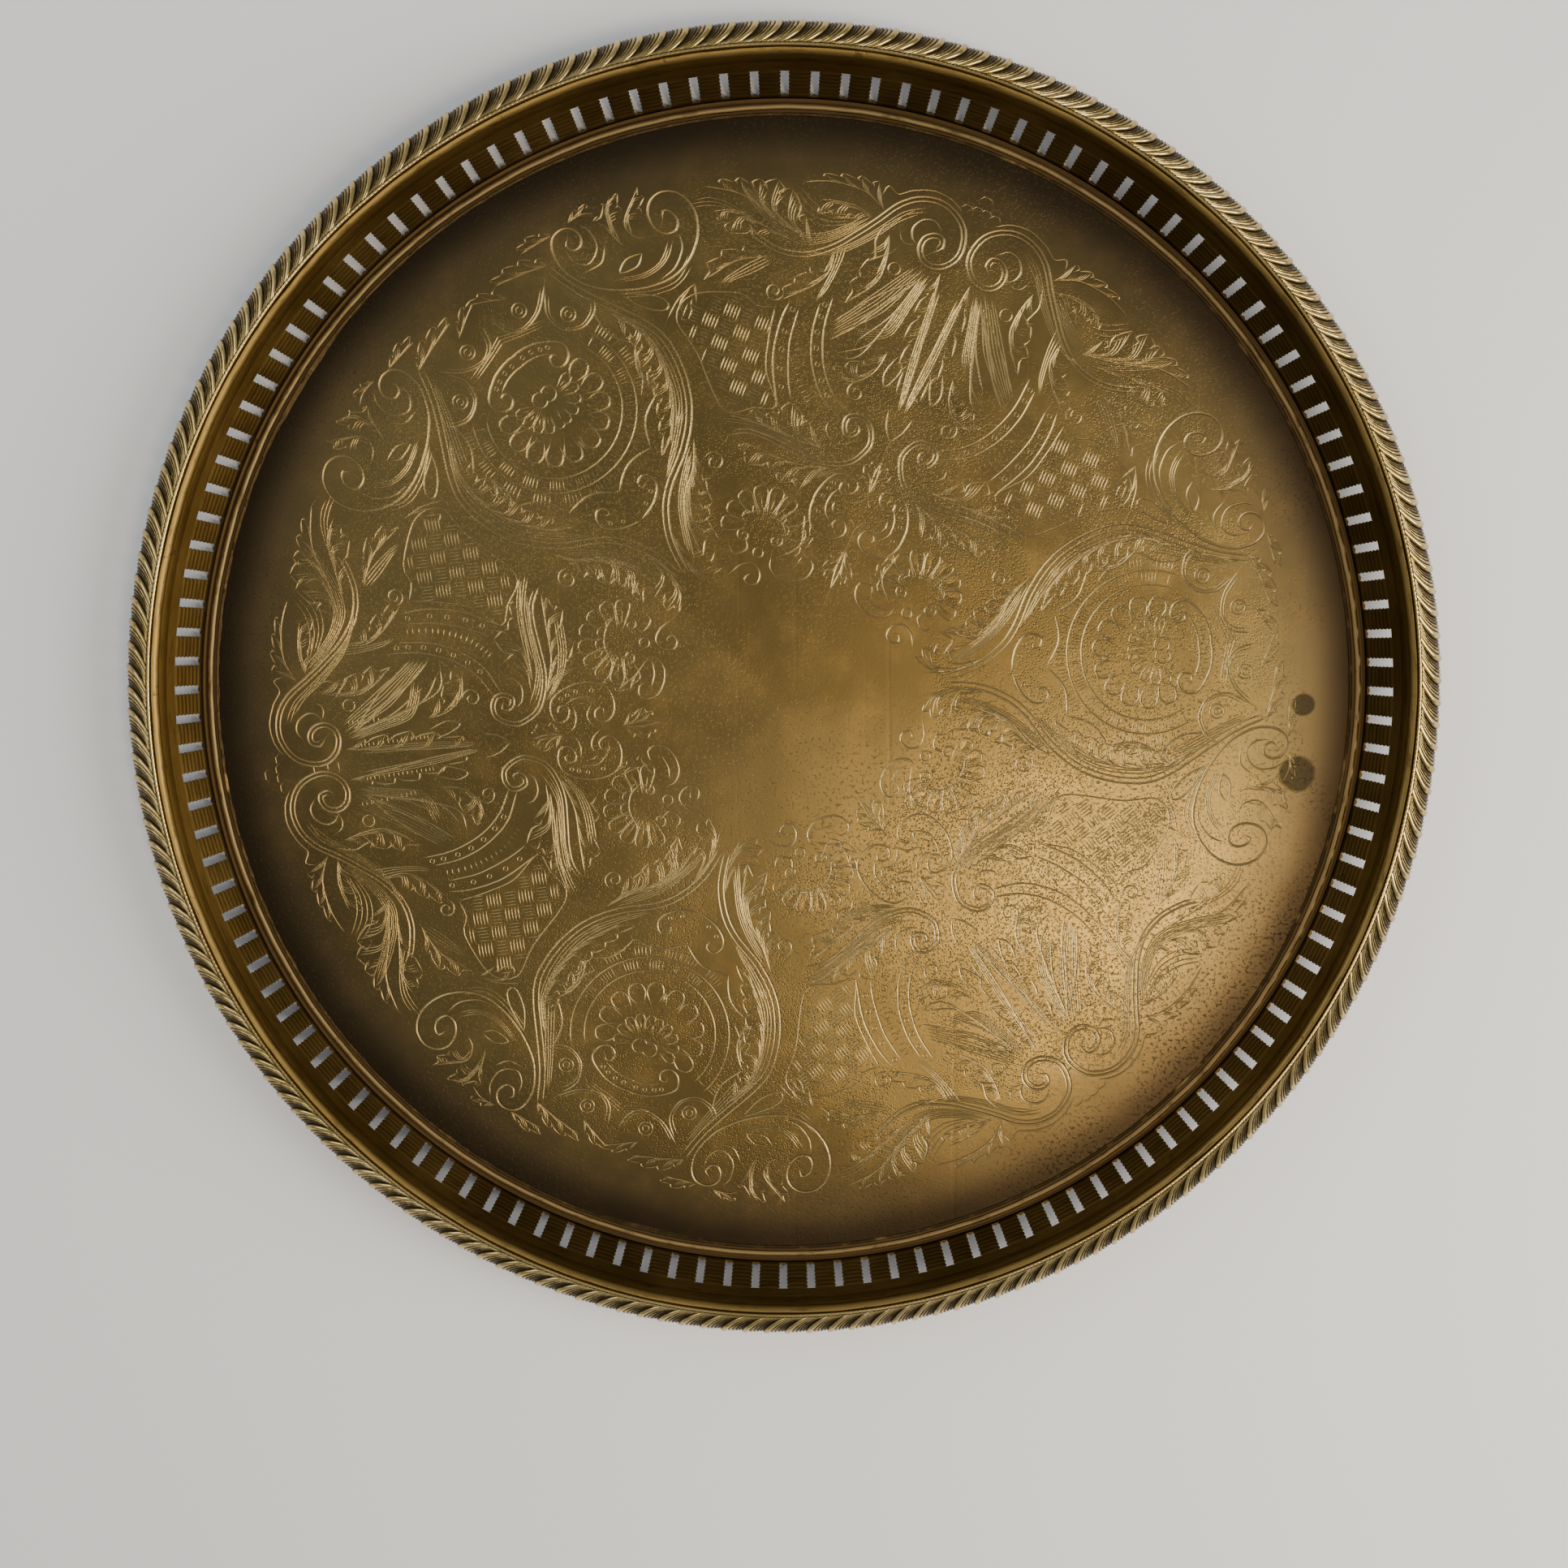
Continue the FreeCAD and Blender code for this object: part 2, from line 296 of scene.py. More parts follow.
def floor_brass():
    finish = Finish("floor_brass")
    radius = finish.from_middle()
    x, y = finish.part("X"), finish.part("Y")
    depth = finish.attribute("depth")
    clouds = finish.noise(9.0, 4.0)
    mottle = finish.noise(60.0, 5.0, 0.65)
    speckle = finish.noise(900.0, 2.0, 0.7)
    pits = finish.noise(850.0, 3.0, 0.75).rise(0.55, 0.63) * finish.noise(13.0, 4.0).rise(0.36, 0.6)
    rubbed = finish.noise(14.0, 5.0, 0.6, (1.0, 3.0, 1.0), 0.6)
    colour = finish.mix(clouds.rise(0.35, 0.65), (0.152, 0.106, 0.036), (0.200, 0.143, 0.052))
    colour = finish.mix(mottle.rise(0.45, 0.75) * 0.5, colour, (0.27, 0.175, 0.055))
    # The floor is darker towards its edge, and darker still in a band just inside the wall.
    towards_edge = radius.rise(0.140, 0.179) * 0.8
    colour = finish.mix(towards_edge, colour, (0.058, 0.041, 0.024))
    colour = finish.mix(pits * 0.45, colour, (0.035, 0.022, 0.010))
    hem = radius.rise(0.166, 0.178)
    colour = finish.mix(hem * 0.72, colour, (0.026, 0.018, 0.011))
    dots = finish.node("ShaderNodeTexVoronoi", None, {"Vector": finish.place(), "Scale": 1250.0})
    zone = radius.rise(0.046, 0.052) * (1 - radius.rise(0.150, 0.162))
    matting = (1 - dots.rise(0.1, 0.45)) * zone * finish.noise(34.0, 2.0).rise(0.40, 0.52)
    colour = finish.mix(matting * 0.5, colour, (0.07, 0.045, 0.016))
    stain = 0.0
    for far, side, size in ((0.1640, -0.0225, 0.0062), (0.1652, -0.0005, 0.0038)):
        away = ((x - far) * (x - far) + (y - side) * (y - side)) ** 0.5
        stain = (1 - (away + mottle * 0.002 - 0.001).rise(size * 0.8, size * 1.05)) + stain
    upper_face = finish.part("Z").rise(0.0004, 0.0007)
    colour = finish.mix(stain.held() * upper_face * 0.85, colour, (0.022, 0.018, 0.010))
    # Painted highlight: the cuts are painted a brighter metal colour, for the light their walls catch.
    colour = finish.mix(depth.rise(0.02, 0.4) * 0.7, colour, (0.37, 0.265, 0.11))
    scratches = finish.noise(260.0, 2.0, 0.5, (1.0, 0.03, 1.0), 0.9).rise(0.62, 0.78)
    roughness = (0.25 + mottle * 0.16 + pits * 0.2 + depth * 0.05 - rubbed.rise(0.5, 0.8) * 0.05
                 + towards_edge * 0.08)
    relief = speckle * 0.5 - pits * 1.2 - scratches * 0.5 - matting * 1.4
    waves = finish.bump(finish.noise(16.0, 2.0, 0.4), 1.0)
    return finish.set(Base_Color=colour, Metallic=1.0, Roughness=roughness.held(),
                      Normal=finish.bump(relief, 0.035, waves))


floor_finish = floor_brass()
print("made", floor_finish.name)

# %% Wall brass


def wall_brass():
    finish = Finish("wall_brass")
    height = finish.part("Z")
    clouds = finish.noise(22.0, 4.0)
    spots = finish.noise(160.0, 4.0, 0.75).rise(0.62, 0.72)
    grain = finish.noise(700.0, 2.0, 0.6)
    colour = finish.mix(clouds.rise(0.35, 0.7), (0.120, 0.075, 0.020), (0.185, 0.122, 0.037))
    # Painted highlight: the upper collar and the moulding are painted lighter towards the top, where they
    # face more of the light above.
    colour = finish.mix(height.rise(0.0175, 0.0235) * 0.5, colour, (0.27, 0.185, 0.06))
    colour = finish.mix(spots * 0.7, colour, (0.06, 0.035, 0.015))
    radius = finish.from_middle()
    # Painted highlight: the crest of the foot bead is painted lighter, above the painted shade on its lower
    # half.
    bead = radius.rise(0.1808, 0.1811) * (1 - radius.rise(0.1829, 0.1831)) * height.rise(0.0019, 0.0022)
    colour = finish.mix(bead * 0.85, colour, (0.27, 0.19, 0.085))
    # Painted shade: the foot flange, the lower half of the foot bead and the groove between the bead and the
    # wall are painted nearly black.
    behind = radius.rise(0.1829, 0.1831)
    low = (1 - height.rise(0.0018, 0.0021) + behind * (1 - height.rise(0.0026, 0.0034))).held()
    colour = finish.mix(low * 0.9, colour, (0.045, 0.029, 0.013))
    rib = finish.noise(90.0, 4.0, 0.7, (1.0, 1.0, 12.0))
    colour = finish.mix(rib.rise(0.5, 0.7) * 0.7, colour, (0.055, 0.030, 0.010))
    roughness = 0.38 + clouds * 0.14 + spots * 0.2 + bead * 0.12
    return finish.set(Base_Color=colour, Metallic=1.0, Roughness=roughness.held(),
                      Normal=finish.bump(grain * 0.6 - spots, 0.04))


wall_finish = wall_brass()
print("made", wall_finish.name)

# %% Border brass


def border_brass():
    finish = Finish("border_brass")
    depth = finish.attribute("depth")
    clouds = finish.noise(30.0, 4.0)
    grime = finish.noise(500.0, 4.0, 0.7)
    colour = finish.mix(clouds.rise(0.3, 0.7), (0.42, 0.30, 0.10), (0.58, 0.43, 0.18))
    dirt = (depth * 1.3 + (grime - 0.5) * 0.8).rise(0.18, 0.72)
    colour = finish.mix(dirt * 0.93, colour, (0.030, 0.021, 0.011))
    radius = finish.from_middle()
    seat = 1 - radius.rise(0.1921, 0.1925)
    colour = finish.mix(seat * finish.noise(70.0, 5.0, 0.75).rise(0.44, 0.6), colour, (0.17, 0.115, 0.035))
    tarnish = grime.rise(0.58, 0.75)
    colour = finish.mix(tarnish * 0.4, colour, (0.22, 0.15, 0.07))
    roughness = 0.17 + dirt * 0.3 + tarnish * 0.12 + clouds * 0.06
    return finish.set(Base_Color=colour, Metallic=1.0, Roughness=roughness.held(),
                      Normal=finish.bump(grime, 0.05))


border_finish = border_brass()
print("made", border_finish.name)

# %% Solder


def dull_solder():
    finish = Finish("dull_solder")
    lumps = finish.noise(220.0, 4.0, 0.65)
    worn = finish.noise(24.0, 4.0, 0.7).rise(0.56, 0.68)
    colour = finish.mix(worn, (0.045, 0.030, 0.013), (0.34, 0.22, 0.075))
    colour = finish.mix(lumps.rise(0.55, 0.75) * 0.6, colour, (0.10, 0.07, 0.035))
    return finish.set(Base_Color=colour, Metallic=1.0, Roughness=(0.35 + lumps * 0.25),
                      Normal=finish.bump(lumps, 0.25))


solder_finish = dull_solder()
print("made", solder_finish.name)

# %% [markdown]
# ## The pierced wall
# The wall is rolled strip with 130 upright slots.  The bars between the slots carry
# level ribs, and the slots' edges are notched where the ribs end.  The same bay comes
# round 130 times, so one bay is modelled in mesh code, and a Geometry Nodes tree turns
# copies of it about the axis.  A boolean cut would need a clean-up afterwards.

# %% Sizes of the wall
SLOTS = 130
SLOT_PHASE = math.radians(4.09)
SLOT_FOOT = (184.6, floor_top + 1.9)      # radius and height of the wall's inner face
SLOT_HEAD = (188.7, floor_top + 12.7)
STRIP = 0.9
SLOT_EDGE = 0.22        # a guessed bevel at a slot's edge, so that the notches show from above
FLARE = (SLOT_HEAD[0] - SLOT_FOOT[0]) / (SLOT_HEAD[1] - SLOT_FOOT[1])
BAY_FOOT = floor_top + 0.9
RIBS = 7
RIB_RISE = 0.14


def wall_radius(height):
    """Radius of the wall's inner face."""
    return SLOT_FOOT[0] + (height - SLOT_FOOT[1]) * FLARE


print(f"wall flares {math.degrees(math.atan(FLARE)):.0f} degrees, bay {TURN * 186 / SLOTS:.2f} mm")

# %% One bay


def bay_row(height, share):
    """The six stations across a bay at one height.

    Each is (angle, inward rise of the rib).  share runs from 0 at the slot's foot to 1
    at its head, and is None on the plain strip above and below.
    """
    half_pitch = math.pi / SLOTS
    rib = abs(math.sin(math.pi * RIBS * (share or 0)))
    half_slot = (1.58 - 0.44 * rib + 0.05 * (share or 0)) / wall_radius(height)
    soft = 0.55 / wall_radius(height)
    rise = RIB_RISE * rib
    edge = half_pitch - half_slot
    return [(-half_pitch, 0), (-edge, rise * 0.4), (-edge + soft, rise),
            (edge - soft, rise), (edge, rise * 0.4), (half_pitch, 0)]


def bay_mesh():
    rows = [(BAY_FOOT, None), (SLOT_FOOT[1], 0.0)]
    steps = RIBS * 4
    for step in range(1, steps):
        share = step / steps
        rows.append((SLOT_FOOT[1] + (SLOT_HEAD[1] - SLOT_FOOT[1]) * share, share))
    rows += [(SLOT_HEAD[1], 1.0), (SLOT_HEAD[1] + 0.5, None), (wall_top, None)]
    points, faces = [], []
    across = 6
    for height, share in rows:
        stations = bay_row(height, share)
        for outward in (0, STRIP):
            for station, (angle, rise) in enumerate(stations):
                bevelled = share is not None and station in (1, across - 2)
                radius = wall_radius(height) + min(outward, SLOT_EDGE if bevelled else STRIP) - rise
                points.append((radius * math.cos(angle), radius * math.sin(angle), height))
    last = len(rows) - 1

    def at(row, side, station):
        return (row * 2 + side) * across + station

    for row in range(last):
        pierced = SLOT_FOOT[1] <= rows[row][0] < SLOT_HEAD[1]
        spans = range(1, across - 2) if pierced else range(across - 1)
        for s in spans:
            faces.append((at(row, 0, s), at(row + 1, 0, s), at(row + 1, 0, s + 1), at(row, 0, s + 1)))
            faces.append((at(row, 1, s), at(row, 1, s + 1), at(row + 1, 1, s + 1), at(row + 1, 1, s)))
        if pierced:
            left, right = 1, across - 2
            faces.append((at(row, 0, left), at(row, 1, left), at(row + 1, 1, left), at(row + 1, 0, left)))
            faces.append((at(row, 0, right), at(row + 1, 0, right), at(row + 1, 1, right), at(row, 1, right)))
    foot = next(i for i, r in enumerate(rows) if r[1] == 0.0)
    head = next(i for i, r in enumerate(rows) if r[1] == 1.0)
    for s in (0, across - 2):
        faces.append((at(foot, 0, s), at(foot, 0, s + 1), at(foot, 1, s + 1), at(foot, 1, s)))
        faces.append((at(head, 0, s), at(head, 1, s), at(head, 1, s + 1), at(head, 0, s + 1)))
    for s in range(across - 1):
        faces.append((at(last, 0, s), at(last, 1, s), at(last, 1, s + 1), at(last, 0, s + 1)))
        faces.append((at(0, 0, s), at(0, 0, s + 1), at(0, 1, s + 1), at(0, 1, s)))
    return points, faces


bay_points, bay_faces = bay_mesh()
print(f"one bay has {len(bay_faces)} faces")

# %% [markdown]
# ## Turning copies about the axis
# The tree makes a cloud of points that all sit on the axis, puts the modelled unit on
# each, and turns each copy one step further than the last.  The copies are then made
# real and their touching edges welded, because an export drops instances.

# %% The tree that repeats a unit round the tray


def repeat_tree():
    tree = bpy.data.node_groups.new("repeat_round_axis", "GeometryNodeTree")
    ports = tree.interface
    ports.new_socket("Unit", in_out="INPUT", socket_type="NodeSocketGeometry")
    ports.new_socket("Count", in_out="INPUT", socket_type="NodeSocketInt")
    ports.new_socket("First angle", in_out="INPUT", socket_type="NodeSocketFloat")
    ports.new_socket("Weld distance", in_out="INPUT", socket_type="NodeSocketFloat")
    ports.new_socket("Finish", in_out="INPUT", socket_type="NodeSocketMaterial")
    ports.new_socket("Ring", in_out="OUTPUT", socket_type="NodeSocketGeometry")
    node = tree.nodes.new
    link = tree.links.new
    given, made = node("NodeGroupInput"), node("NodeGroupOutput")
    cloud = node("GeometryNodePoints")
    link(given.outputs["Count"], cloud.inputs["Count"])
    step = node("ShaderNodeMath")
    step.operation = "DIVIDE"
    step.inputs[0].default_value = TURN
    link(given.outputs["Count"], step.inputs[1])
    angle = node("ShaderNodeMath")
    angle.operation = "MULTIPLY_ADD"
    link(node("GeometryNodeInputIndex").outputs[0], angle.inputs[0])
    link(step.outputs[0], angle.inputs[1])
    link(given.outputs["First angle"], angle.inputs[2])
    turn = node("ShaderNodeCombineXYZ")
    link(angle.outputs[0], turn.inputs["Z"])
    copies = node("GeometryNodeInstanceOnPoints")
    link(cloud.outputs[0], copies.inputs["Points"])
    link(given.outputs["Unit"], copies.inputs["Instance"])
    link(turn.outputs[0], copies.inputs["Rotation"])
    real = node("GeometryNodeRealizeInstances")
    link(copies.outputs[0], real.inputs[0])
    weld = node("GeometryNodeMergeByDistance")
    link(real.outputs[0], weld.inputs[0])
    link(given.outputs["Weld distance"], weld.inputs["Distance"])
    paint = node("GeometryNodeSetMaterial")
    link(weld.outputs[0], paint.inputs[0])
    link(given.outputs["Finish"], paint.inputs["Material"])
    link(paint.outputs[0], made.inputs[0])
    return tree


repeat_round_axis = repeat_tree()


def repeated(name, points, faces, count, first_angle, material, values=None, sharp_degrees=40):
    """A ring of copies of a unit, as a plain mesh.  values is the unit's depth at each point."""
    unit = mesh_piece(name, points, faces, material)
    if values:
        unit.data.attributes.new("depth", "FLOAT", "POINT").data.foreach_set("value", values)
    ring = unit.modifiers.new("ring", "NODES")
    ring.node_group = repeat_round_axis
    settings = {"Count": count, "First angle": first_angle, "Weld distance": 0.01 * MM,
                "Finish": material}
    for item in repeat_round_axis.interface.items_tree:
        if item.name in settings:
            ring[item.identifier] = settings[item.name]
    whole = bpy.data.meshes.new_from_object(
        unit.evaluated_get(bpy.context.evaluated_depsgraph_get()))
    unit.modifiers.remove(ring)
    unit.data = whole
    finish_mesh(whole, sharp_degrees)
    return unit


gallery = repeated("pierced_gallery", bay_points, bay_faces, SLOTS,
                   SLOT_PHASE + math.pi / SLOTS, wall_finish)
ring_piece(gallery, "gallery_band")

# %% [markdown]
# ## Foot, bead and solder
# The wall's foot is turned in and lies on the floor.  A half-round wire covers it, and a
# run of solder closes its inner edge.  Solder creeps, so its edge wanders and has lumps.

# %% The foot flange and its bead
FLANGE_INNER = 179.8
BEAD_RADIUS = 182.0
BEAD_HALF_WIDTH = 0.95
BEAD_RISE = 0.85
FLANGE_THICKNESS = 0.5


def foot_section():
    seat = floor_top + 0.02
    return [(FLANGE_INNER, seat), (wall_radius(seat) + STRIP, seat),
            (wall_radius(BAY_FOOT) + STRIP, BAY_FOOT), (wall_radius(BAY_FOOT), BAY_FOOT),
            (183.75, floor_top + 0.62), (183.3, floor_top + FLANGE_THICKNESS),
            (FLANGE_INNER + 0.15, floor_top + FLANGE_THICKNESS), (FLANGE_INNER, floor_top + 0.42)]


foot = hoop("gallery_foot", foot_section(), wall_finish)
ring_piece(foot, "gallery_band")


def bead_section():
    seat = floor_top + FLANGE_THICKNESS
    turns = [math.pi * i / 8 for i in range(9)]
    return [(BEAD_RADIUS + BEAD_HALF_WIDTH * math.cos(turn), seat + BEAD_RISE * math.sin(turn))
            for turn in turns]


def hand_laid(angle, index, radius, height):
    """Wire laid by hand wanders by about a tenth of a millimetre."""
    drift = 0.05 * math.sin(17 * angle + 1) + 0.04 * math.sin(41 * angle) + 0.03 * math.sin(97 * angle)
    return radius + drift, height


bead = hoop("foot_bead_wire", bead_section(), wall_finish, 1080, hand_laid)
ring_piece(bead, "foot_bead")

# %% The solder


def creep(angle):
    """How far the solder reaches inward, in millimetres: mostly little, in places a lot."""
    slow = math.sin(3 * angle + 0.6) + math.sin(7 * angle + 2.1) + 0.8 * math.sin(13 * angle)
    quick = math.sin(61 * angle) + math.sin(113 * angle + 1) + 0.7 * math.sin(211 * angle + 2)
    return 0.35 + 0.5 * max(0.0, slow - 1.3) + 0.06 * quick


def crept(angle, index, radius, height):
    reach_in = max(0.25, creep(angle))
    lump = 0.05 * math.sin(83 * angle) + 0.04 * math.sin(157 * angle + 1)
    if index in (0, 1):
        return radius - reach_in * (1.0 if index == 0 else 0.75), height
    return radius, height + (lump if index in (2, 3) else 0)


solder = hoop("foot_solder_run", [
    (FLANGE_INNER, floor_top + 0.01), (FLANGE_INNER, floor_top + 0.12),
    (FLANGE_INNER - 0.35, floor_top + 0.36), (FLANGE_INNER + 0.25, floor_top + 0.62),
    (FLANGE_INNER + 0.6, floor_top + 0.45), (FLANGE_INNER - 0.02, floor_top + 0.01),
][::-1], solder_finish, 1440, lambda a, i, r, z: crept(a, 5 - i, r, z))
ring_piece(solder, "foot_solder")

# %% [markdown]
# ## Collar, moulding and twisted wire
# Above the slots the strip opens like a trumpet's mouth.  A half-round moulding runs
# round the top, then a fine twisted wire, and then the border.

# %% The collar


def collar_section():
    seam = wall_top + 0.02
    skirt = wall_top - 2.6
    lip = floor_top + 23.0
    face = arc_points((wall_radius(seam), seam), (190.8, floor_top + 19.4), (192.5, lip), 10)
    back = [(r + STRIP, z) for r, z in face]
    gap = STRIP + 0.03
    lap = [(wall_radius(seam) + gap, seam), (wall_radius(skirt) + gap, skirt),
           (wall_radius(skirt) + gap + STRIP, skirt), (wall_radius(seam) + gap + STRIP, seam)]
    return [face[0]] + lap + back[2:] + face[:0:-1]


collar = hoop("collar_strip", collar_section(), wall_finish, 720)
ring_piece(collar, "collar_band")

# %% The half-round moulding


def moulding_section():
    low, high = floor_top + 20.0, floor_top + 23.1
    seat = [(191.1, low), (192.25, high)]
    nose = arc_points((192.05, high + 0.1), (190.75, high - 0.75), (190.95, low), 9)
    return seat + nose[:-1]


moulding = hoop("half_round_moulding", moulding_section(), wall_finish, 1080, hand_laid)
ring_piece(moulding, "bead_moulding")

# %% The twisted wire
ROPE_RADIUS = 192.9
ROPE_HEIGHT = floor_top + 23.6
STRAND_TURNS = 420
ROPE_THICK = 0.49                # half the rope's widest way across


def twisted(angle, index, radius, height):
    """Two strands twisted together: an oval section that turns as it goes round."""
    spot = TURN * index / 8
    spin = spot - STRAND_TURNS * angle
    thick = ROPE_THICK * (0.72 + 0.28 * abs(math.cos(spin)))
    return ROPE_RADIUS + thick * math.cos(spot), ROPE_HEIGHT + thick * math.sin(spot)


rope = hoop("twisted_wire", [(ROPE_RADIUS, ROPE_HEIGHT)] * 8, border_finish,
            STRAND_TURNS * 6, twisted, sharp_degrees=60)
ring_piece(rope, "rope_wire")

# %% [markdown]
# ## The gadroon border
# The border is stamped with 184 gadroons.  Each is a broad smooth lobe and four narrow
# ribs that leave the inner edge almost along it, then turn to run straight out.  One
# gadroon is a grid of points that lean with the ribs, pressed in from the smooth dome
# of the CAD shell, and the same tree repeats it.

# %% Sizes of a gadroon
GADROONS = 184
BORDER_INNER = (193.5, floor_top + 23.8)
BORDER_CREST = (197.6, floor_top + 22.2)
BORDER_OUTER = (203.0, floor_top + 13.3)
RELIEF = 1.25
LEAN = 1.05
ACROSS = 26
ALONG = 13
lobes = [(0.0, 0.36, 1.0), (0.36, 0.53, 0.78), (0.53, 0.69, 0.66), (0.69, 0.85, 0.54), (0.85, 1.0, 0.4)]


def rise_across(share):
    """Height of the stamping across one gadroon, 1 on the broad lobe's back."""
    for low, high, crown in lobes:
        if low <= share <= high:
            offset = (share - (low + high) / 2) / ((high - low) / 2)
            return crown * max(0.0, 1 - abs(offset) ** 2.4) ** 0.6
    return 0.0


def leaning(radius):
    """How far round a rib has drifted, in gadroons; it ends up running straight out."""
    out = (radius - BORDER_INNER[0]) / (BORDER_OUTER[0] - BORDER_INNER[0])
    return LEAN * max(0.0, 1 - out) ** 2.5


def gadroon_mesh():
    dome = arc_points(BORDER_INNER, BORDER_CREST, BORDER_OUTER, ALONG)
    points, faces, depths = [], [], []
    pitch = TURN / GADROONS
    for row, (radius, height) in enumerate(dome):
        share = row / (ALONG - 1)
        before, after = dome[max(0, row - 1)], dome[min(ALONG - 1, row + 1)]
        slope = math.hypot(after[0] - before[0], after[1] - before[1])
        normal = (-(after[1] - before[1]) / slope, (after[0] - before[0]) / slope)
        strength = min(1.0, share * 9) * (1 - 0.3 * share ** 3)
        lean = leaning(radius)
        for column in range(ACROSS + 1):
            rise = rise_across(column / ACROSS)
            press = RELIEF * strength * (1 - rise)
            angle = (column / ACROSS + lean) * pitch
            r = radius - normal[0] * press
            points.append((r * math.cos(angle), r * math.sin(angle), height - normal[1] * press))
            depths.append((1 - rise) * min(1.0, share * 8))
    across = ACROSS + 1
    for row in range(ALONG - 1):
        for column in range(ACROSS):
            a = row * across + column
            faces.append((a, a + across, a + across + 1, a + 1))
    under = len(points)
    back = [(BORDER_INNER[0], BORDER_INNER[1] - 0.8), (196.6, floor_top + 20.6),
            (200.2, floor_top + 17.3), (BORDER_OUTER[0] - 1.3, BORDER_OUTER[1])]
    for radius, height in back:
        lean = leaning(radius)
        for column in range(across):
            angle = (column / ACROSS + lean) * pitch
            points.append((radius * math.cos(angle), radius * math.sin(angle), height))
            depths.append(0.8)
    for row in range(len(back) - 1):
        for column in range(ACROSS):
            a = under + row * across + column
            faces.append((a, a + 1, a + across + 1, a + across))
    rim, hem = (ALONG - 1) * across, under + (len(back) - 1) * across
    for column in range(ACROSS):
        faces.append((rim + column, hem + column, hem + column + 1, rim + column + 1))
        faces.append((column, column + 1, under + column + 1, under + column))
    return points, faces, depths


border_points, border_faces, border_depths = gadroon_mesh()
border = repeated("gadroon_ring", border_points, border_faces, GADROONS, 0.0,
                  border_finish, border_depths, 60)
ring_piece(border, "gadroon_border")

# %% [markdown]
# ## Engraving the floor
# The floor is cut by hand with a V-shaped graver: scrolls and shells between two plain
# zones.  The pattern has three axes of symmetry, so only one sixth is drawn here, from a
# scroll axis (u = 0) round to a shell axis 60 degrees on.  Positions are (u, y) in
# millimetres, y outward along the scroll axis.  Every stroke is a curve through a few
# points, and swells and tapers as a graver's cut does.

# %% Strokes
WEDGE = math.radians(60)
SCROLL_AXIS = math.radians(68)
RIM_STEPS = 60                  # straight sides of the plate's edge in one sixth
TAPER = 2.4                     # length over which a long cut swells to its full width
SHORTEST_CUT = 0.6
SLOPE = 0.48                    # depth of a cut for each millimetre of half width
strokes = []                    # each is (points along the cut, half width at each)


def curve(points, spacing=1.0):
    """A smooth line through the points, sampled about every `spacing` millimetres."""
    if len(points) == 2:
        controls = [points[0], points[0], points[1], points[1]]
    else:
        controls = [points[0], *points, points[-1]]
    line = []
    for a, b, c, d in zip(controls, controls[1:], controls[2:], controls[3:]):
        steps = max(1, round(math.dist(b, c) / spacing))
        for step in range(steps):
            t = step / steps
            line.append(tuple(0.5 * (2 * q + (r - p) * t + (2 * p - 5 * q + 4 * r - s) * t * t
                                     + (3 * q - p - 3 * r + s) * t ** 3)
                              for p, q, r, s in zip(a, b, c, d)))
    line.append(tuple(map(float, points[-1])))
    return line


def along(line, share):
    """The point a share of the way along a sampled line."""
    place = share * (len(line) - 1)
    index = min(int(place), len(line) - 2)
    rest = place - index
    (ax, ay), (bx, by) = line[index], line[index + 1]
    return ax + (bx - ax) * rest, ay + (by - ay) * rest


def fewer(line, tolerance=0.07):
    """Drop the points that a straight line would pass within the tolerance of."""
    (ax, ay), (bx, by) = line[0], line[-1]
    length = math.dist(line[0], line[-1])
    if len(line) < 3:
        return line
    away = [abs((x - ax) * (by - ay) - (y - ay) * (bx - ax)) / length if length > 0.01
            else math.dist((x, y), (ax, ay)) for x, y in line]
    worst = max(range(1, len(line) - 1), key=away.__getitem__)
    if away[worst] < tolerance:
        return [line[0], line[-1]]
    return fewer(line[:worst + 1], tolerance)[:-1] + fewer(line[worst:], tolerance)


def cut(points, width=0.6, spacing=1.0, taper=True):
    """Add a stroke; its ends taper over TAPER, or a third of its length if it is short."""
    line = curve(points, spacing)
    walked = [0.0]
    for a, b in zip(line, line[1:]):
        walked.append(walked[-1] + math.dist(a, b))
    whole = walked[-1]
    if whole < SHORTEST_CUT:
        return line
    ramp = min(TAPER, whole / 3)
    bare = fewer(line)
    if taper:
        bare = sorted({walked[line.index(p)]: p for p in bare[:-1]}.items()) + [(whole, line[-1])]
        for target in (ramp, whole - ramp):
            if min(abs(target - far) for far, _ in bare) > 0.25:
                place = next(i for i in range(1, len(walked)) if walked[i] >= target)
                share = (target - walked[place - 1]) / (walked[place] - walked[place - 1])
                (ax, ay), (bx, by) = line[place - 1], line[place]
                bare.append((target, (ax + (bx - ax) * share, ay + (by - ay) * share)))
        bare.sort()
        half = [width / 2 * min(1.0, 0.15 + 0.85 * min(far, whole - far) / ramp) for far, _ in bare]
        strokes.append(([p for _, p in bare], half))
    else:
        strokes.append((bare, [width / 2] * len(bare)))
    return line


def beside(line, distance):
    """The line moved sideways, to its left if the distance is positive."""
    moved = []
    for index, (x, y) in enumerate(line):
        (ax, ay), (bx, by) = line[max(0, index - 1)], line[min(len(line) - 1, index + 1)]
        length = math.dist((ax, ay), (bx, by)) or 1.0
        moved.append((x - (by - ay) / length * distance, y + (bx - ax) / length * distance))
    return moved


def double(points, gap=1.5, width=0.55):
    line = cut(points, width)
    cut(beside(line, gap)[1:-1:2], width * 0.8)
    return line


def loop(centre, radius, width=0.5):
    turns = 6 if radius < 1.2 else 12
    ring = [(centre[0] + radius * math.cos(TURN * i / turns),
             centre[1] + radius * math.sin(TURN * i / turns)) for i in range(turns + 1)]
    cut(ring, width, 0.7, taper=False)


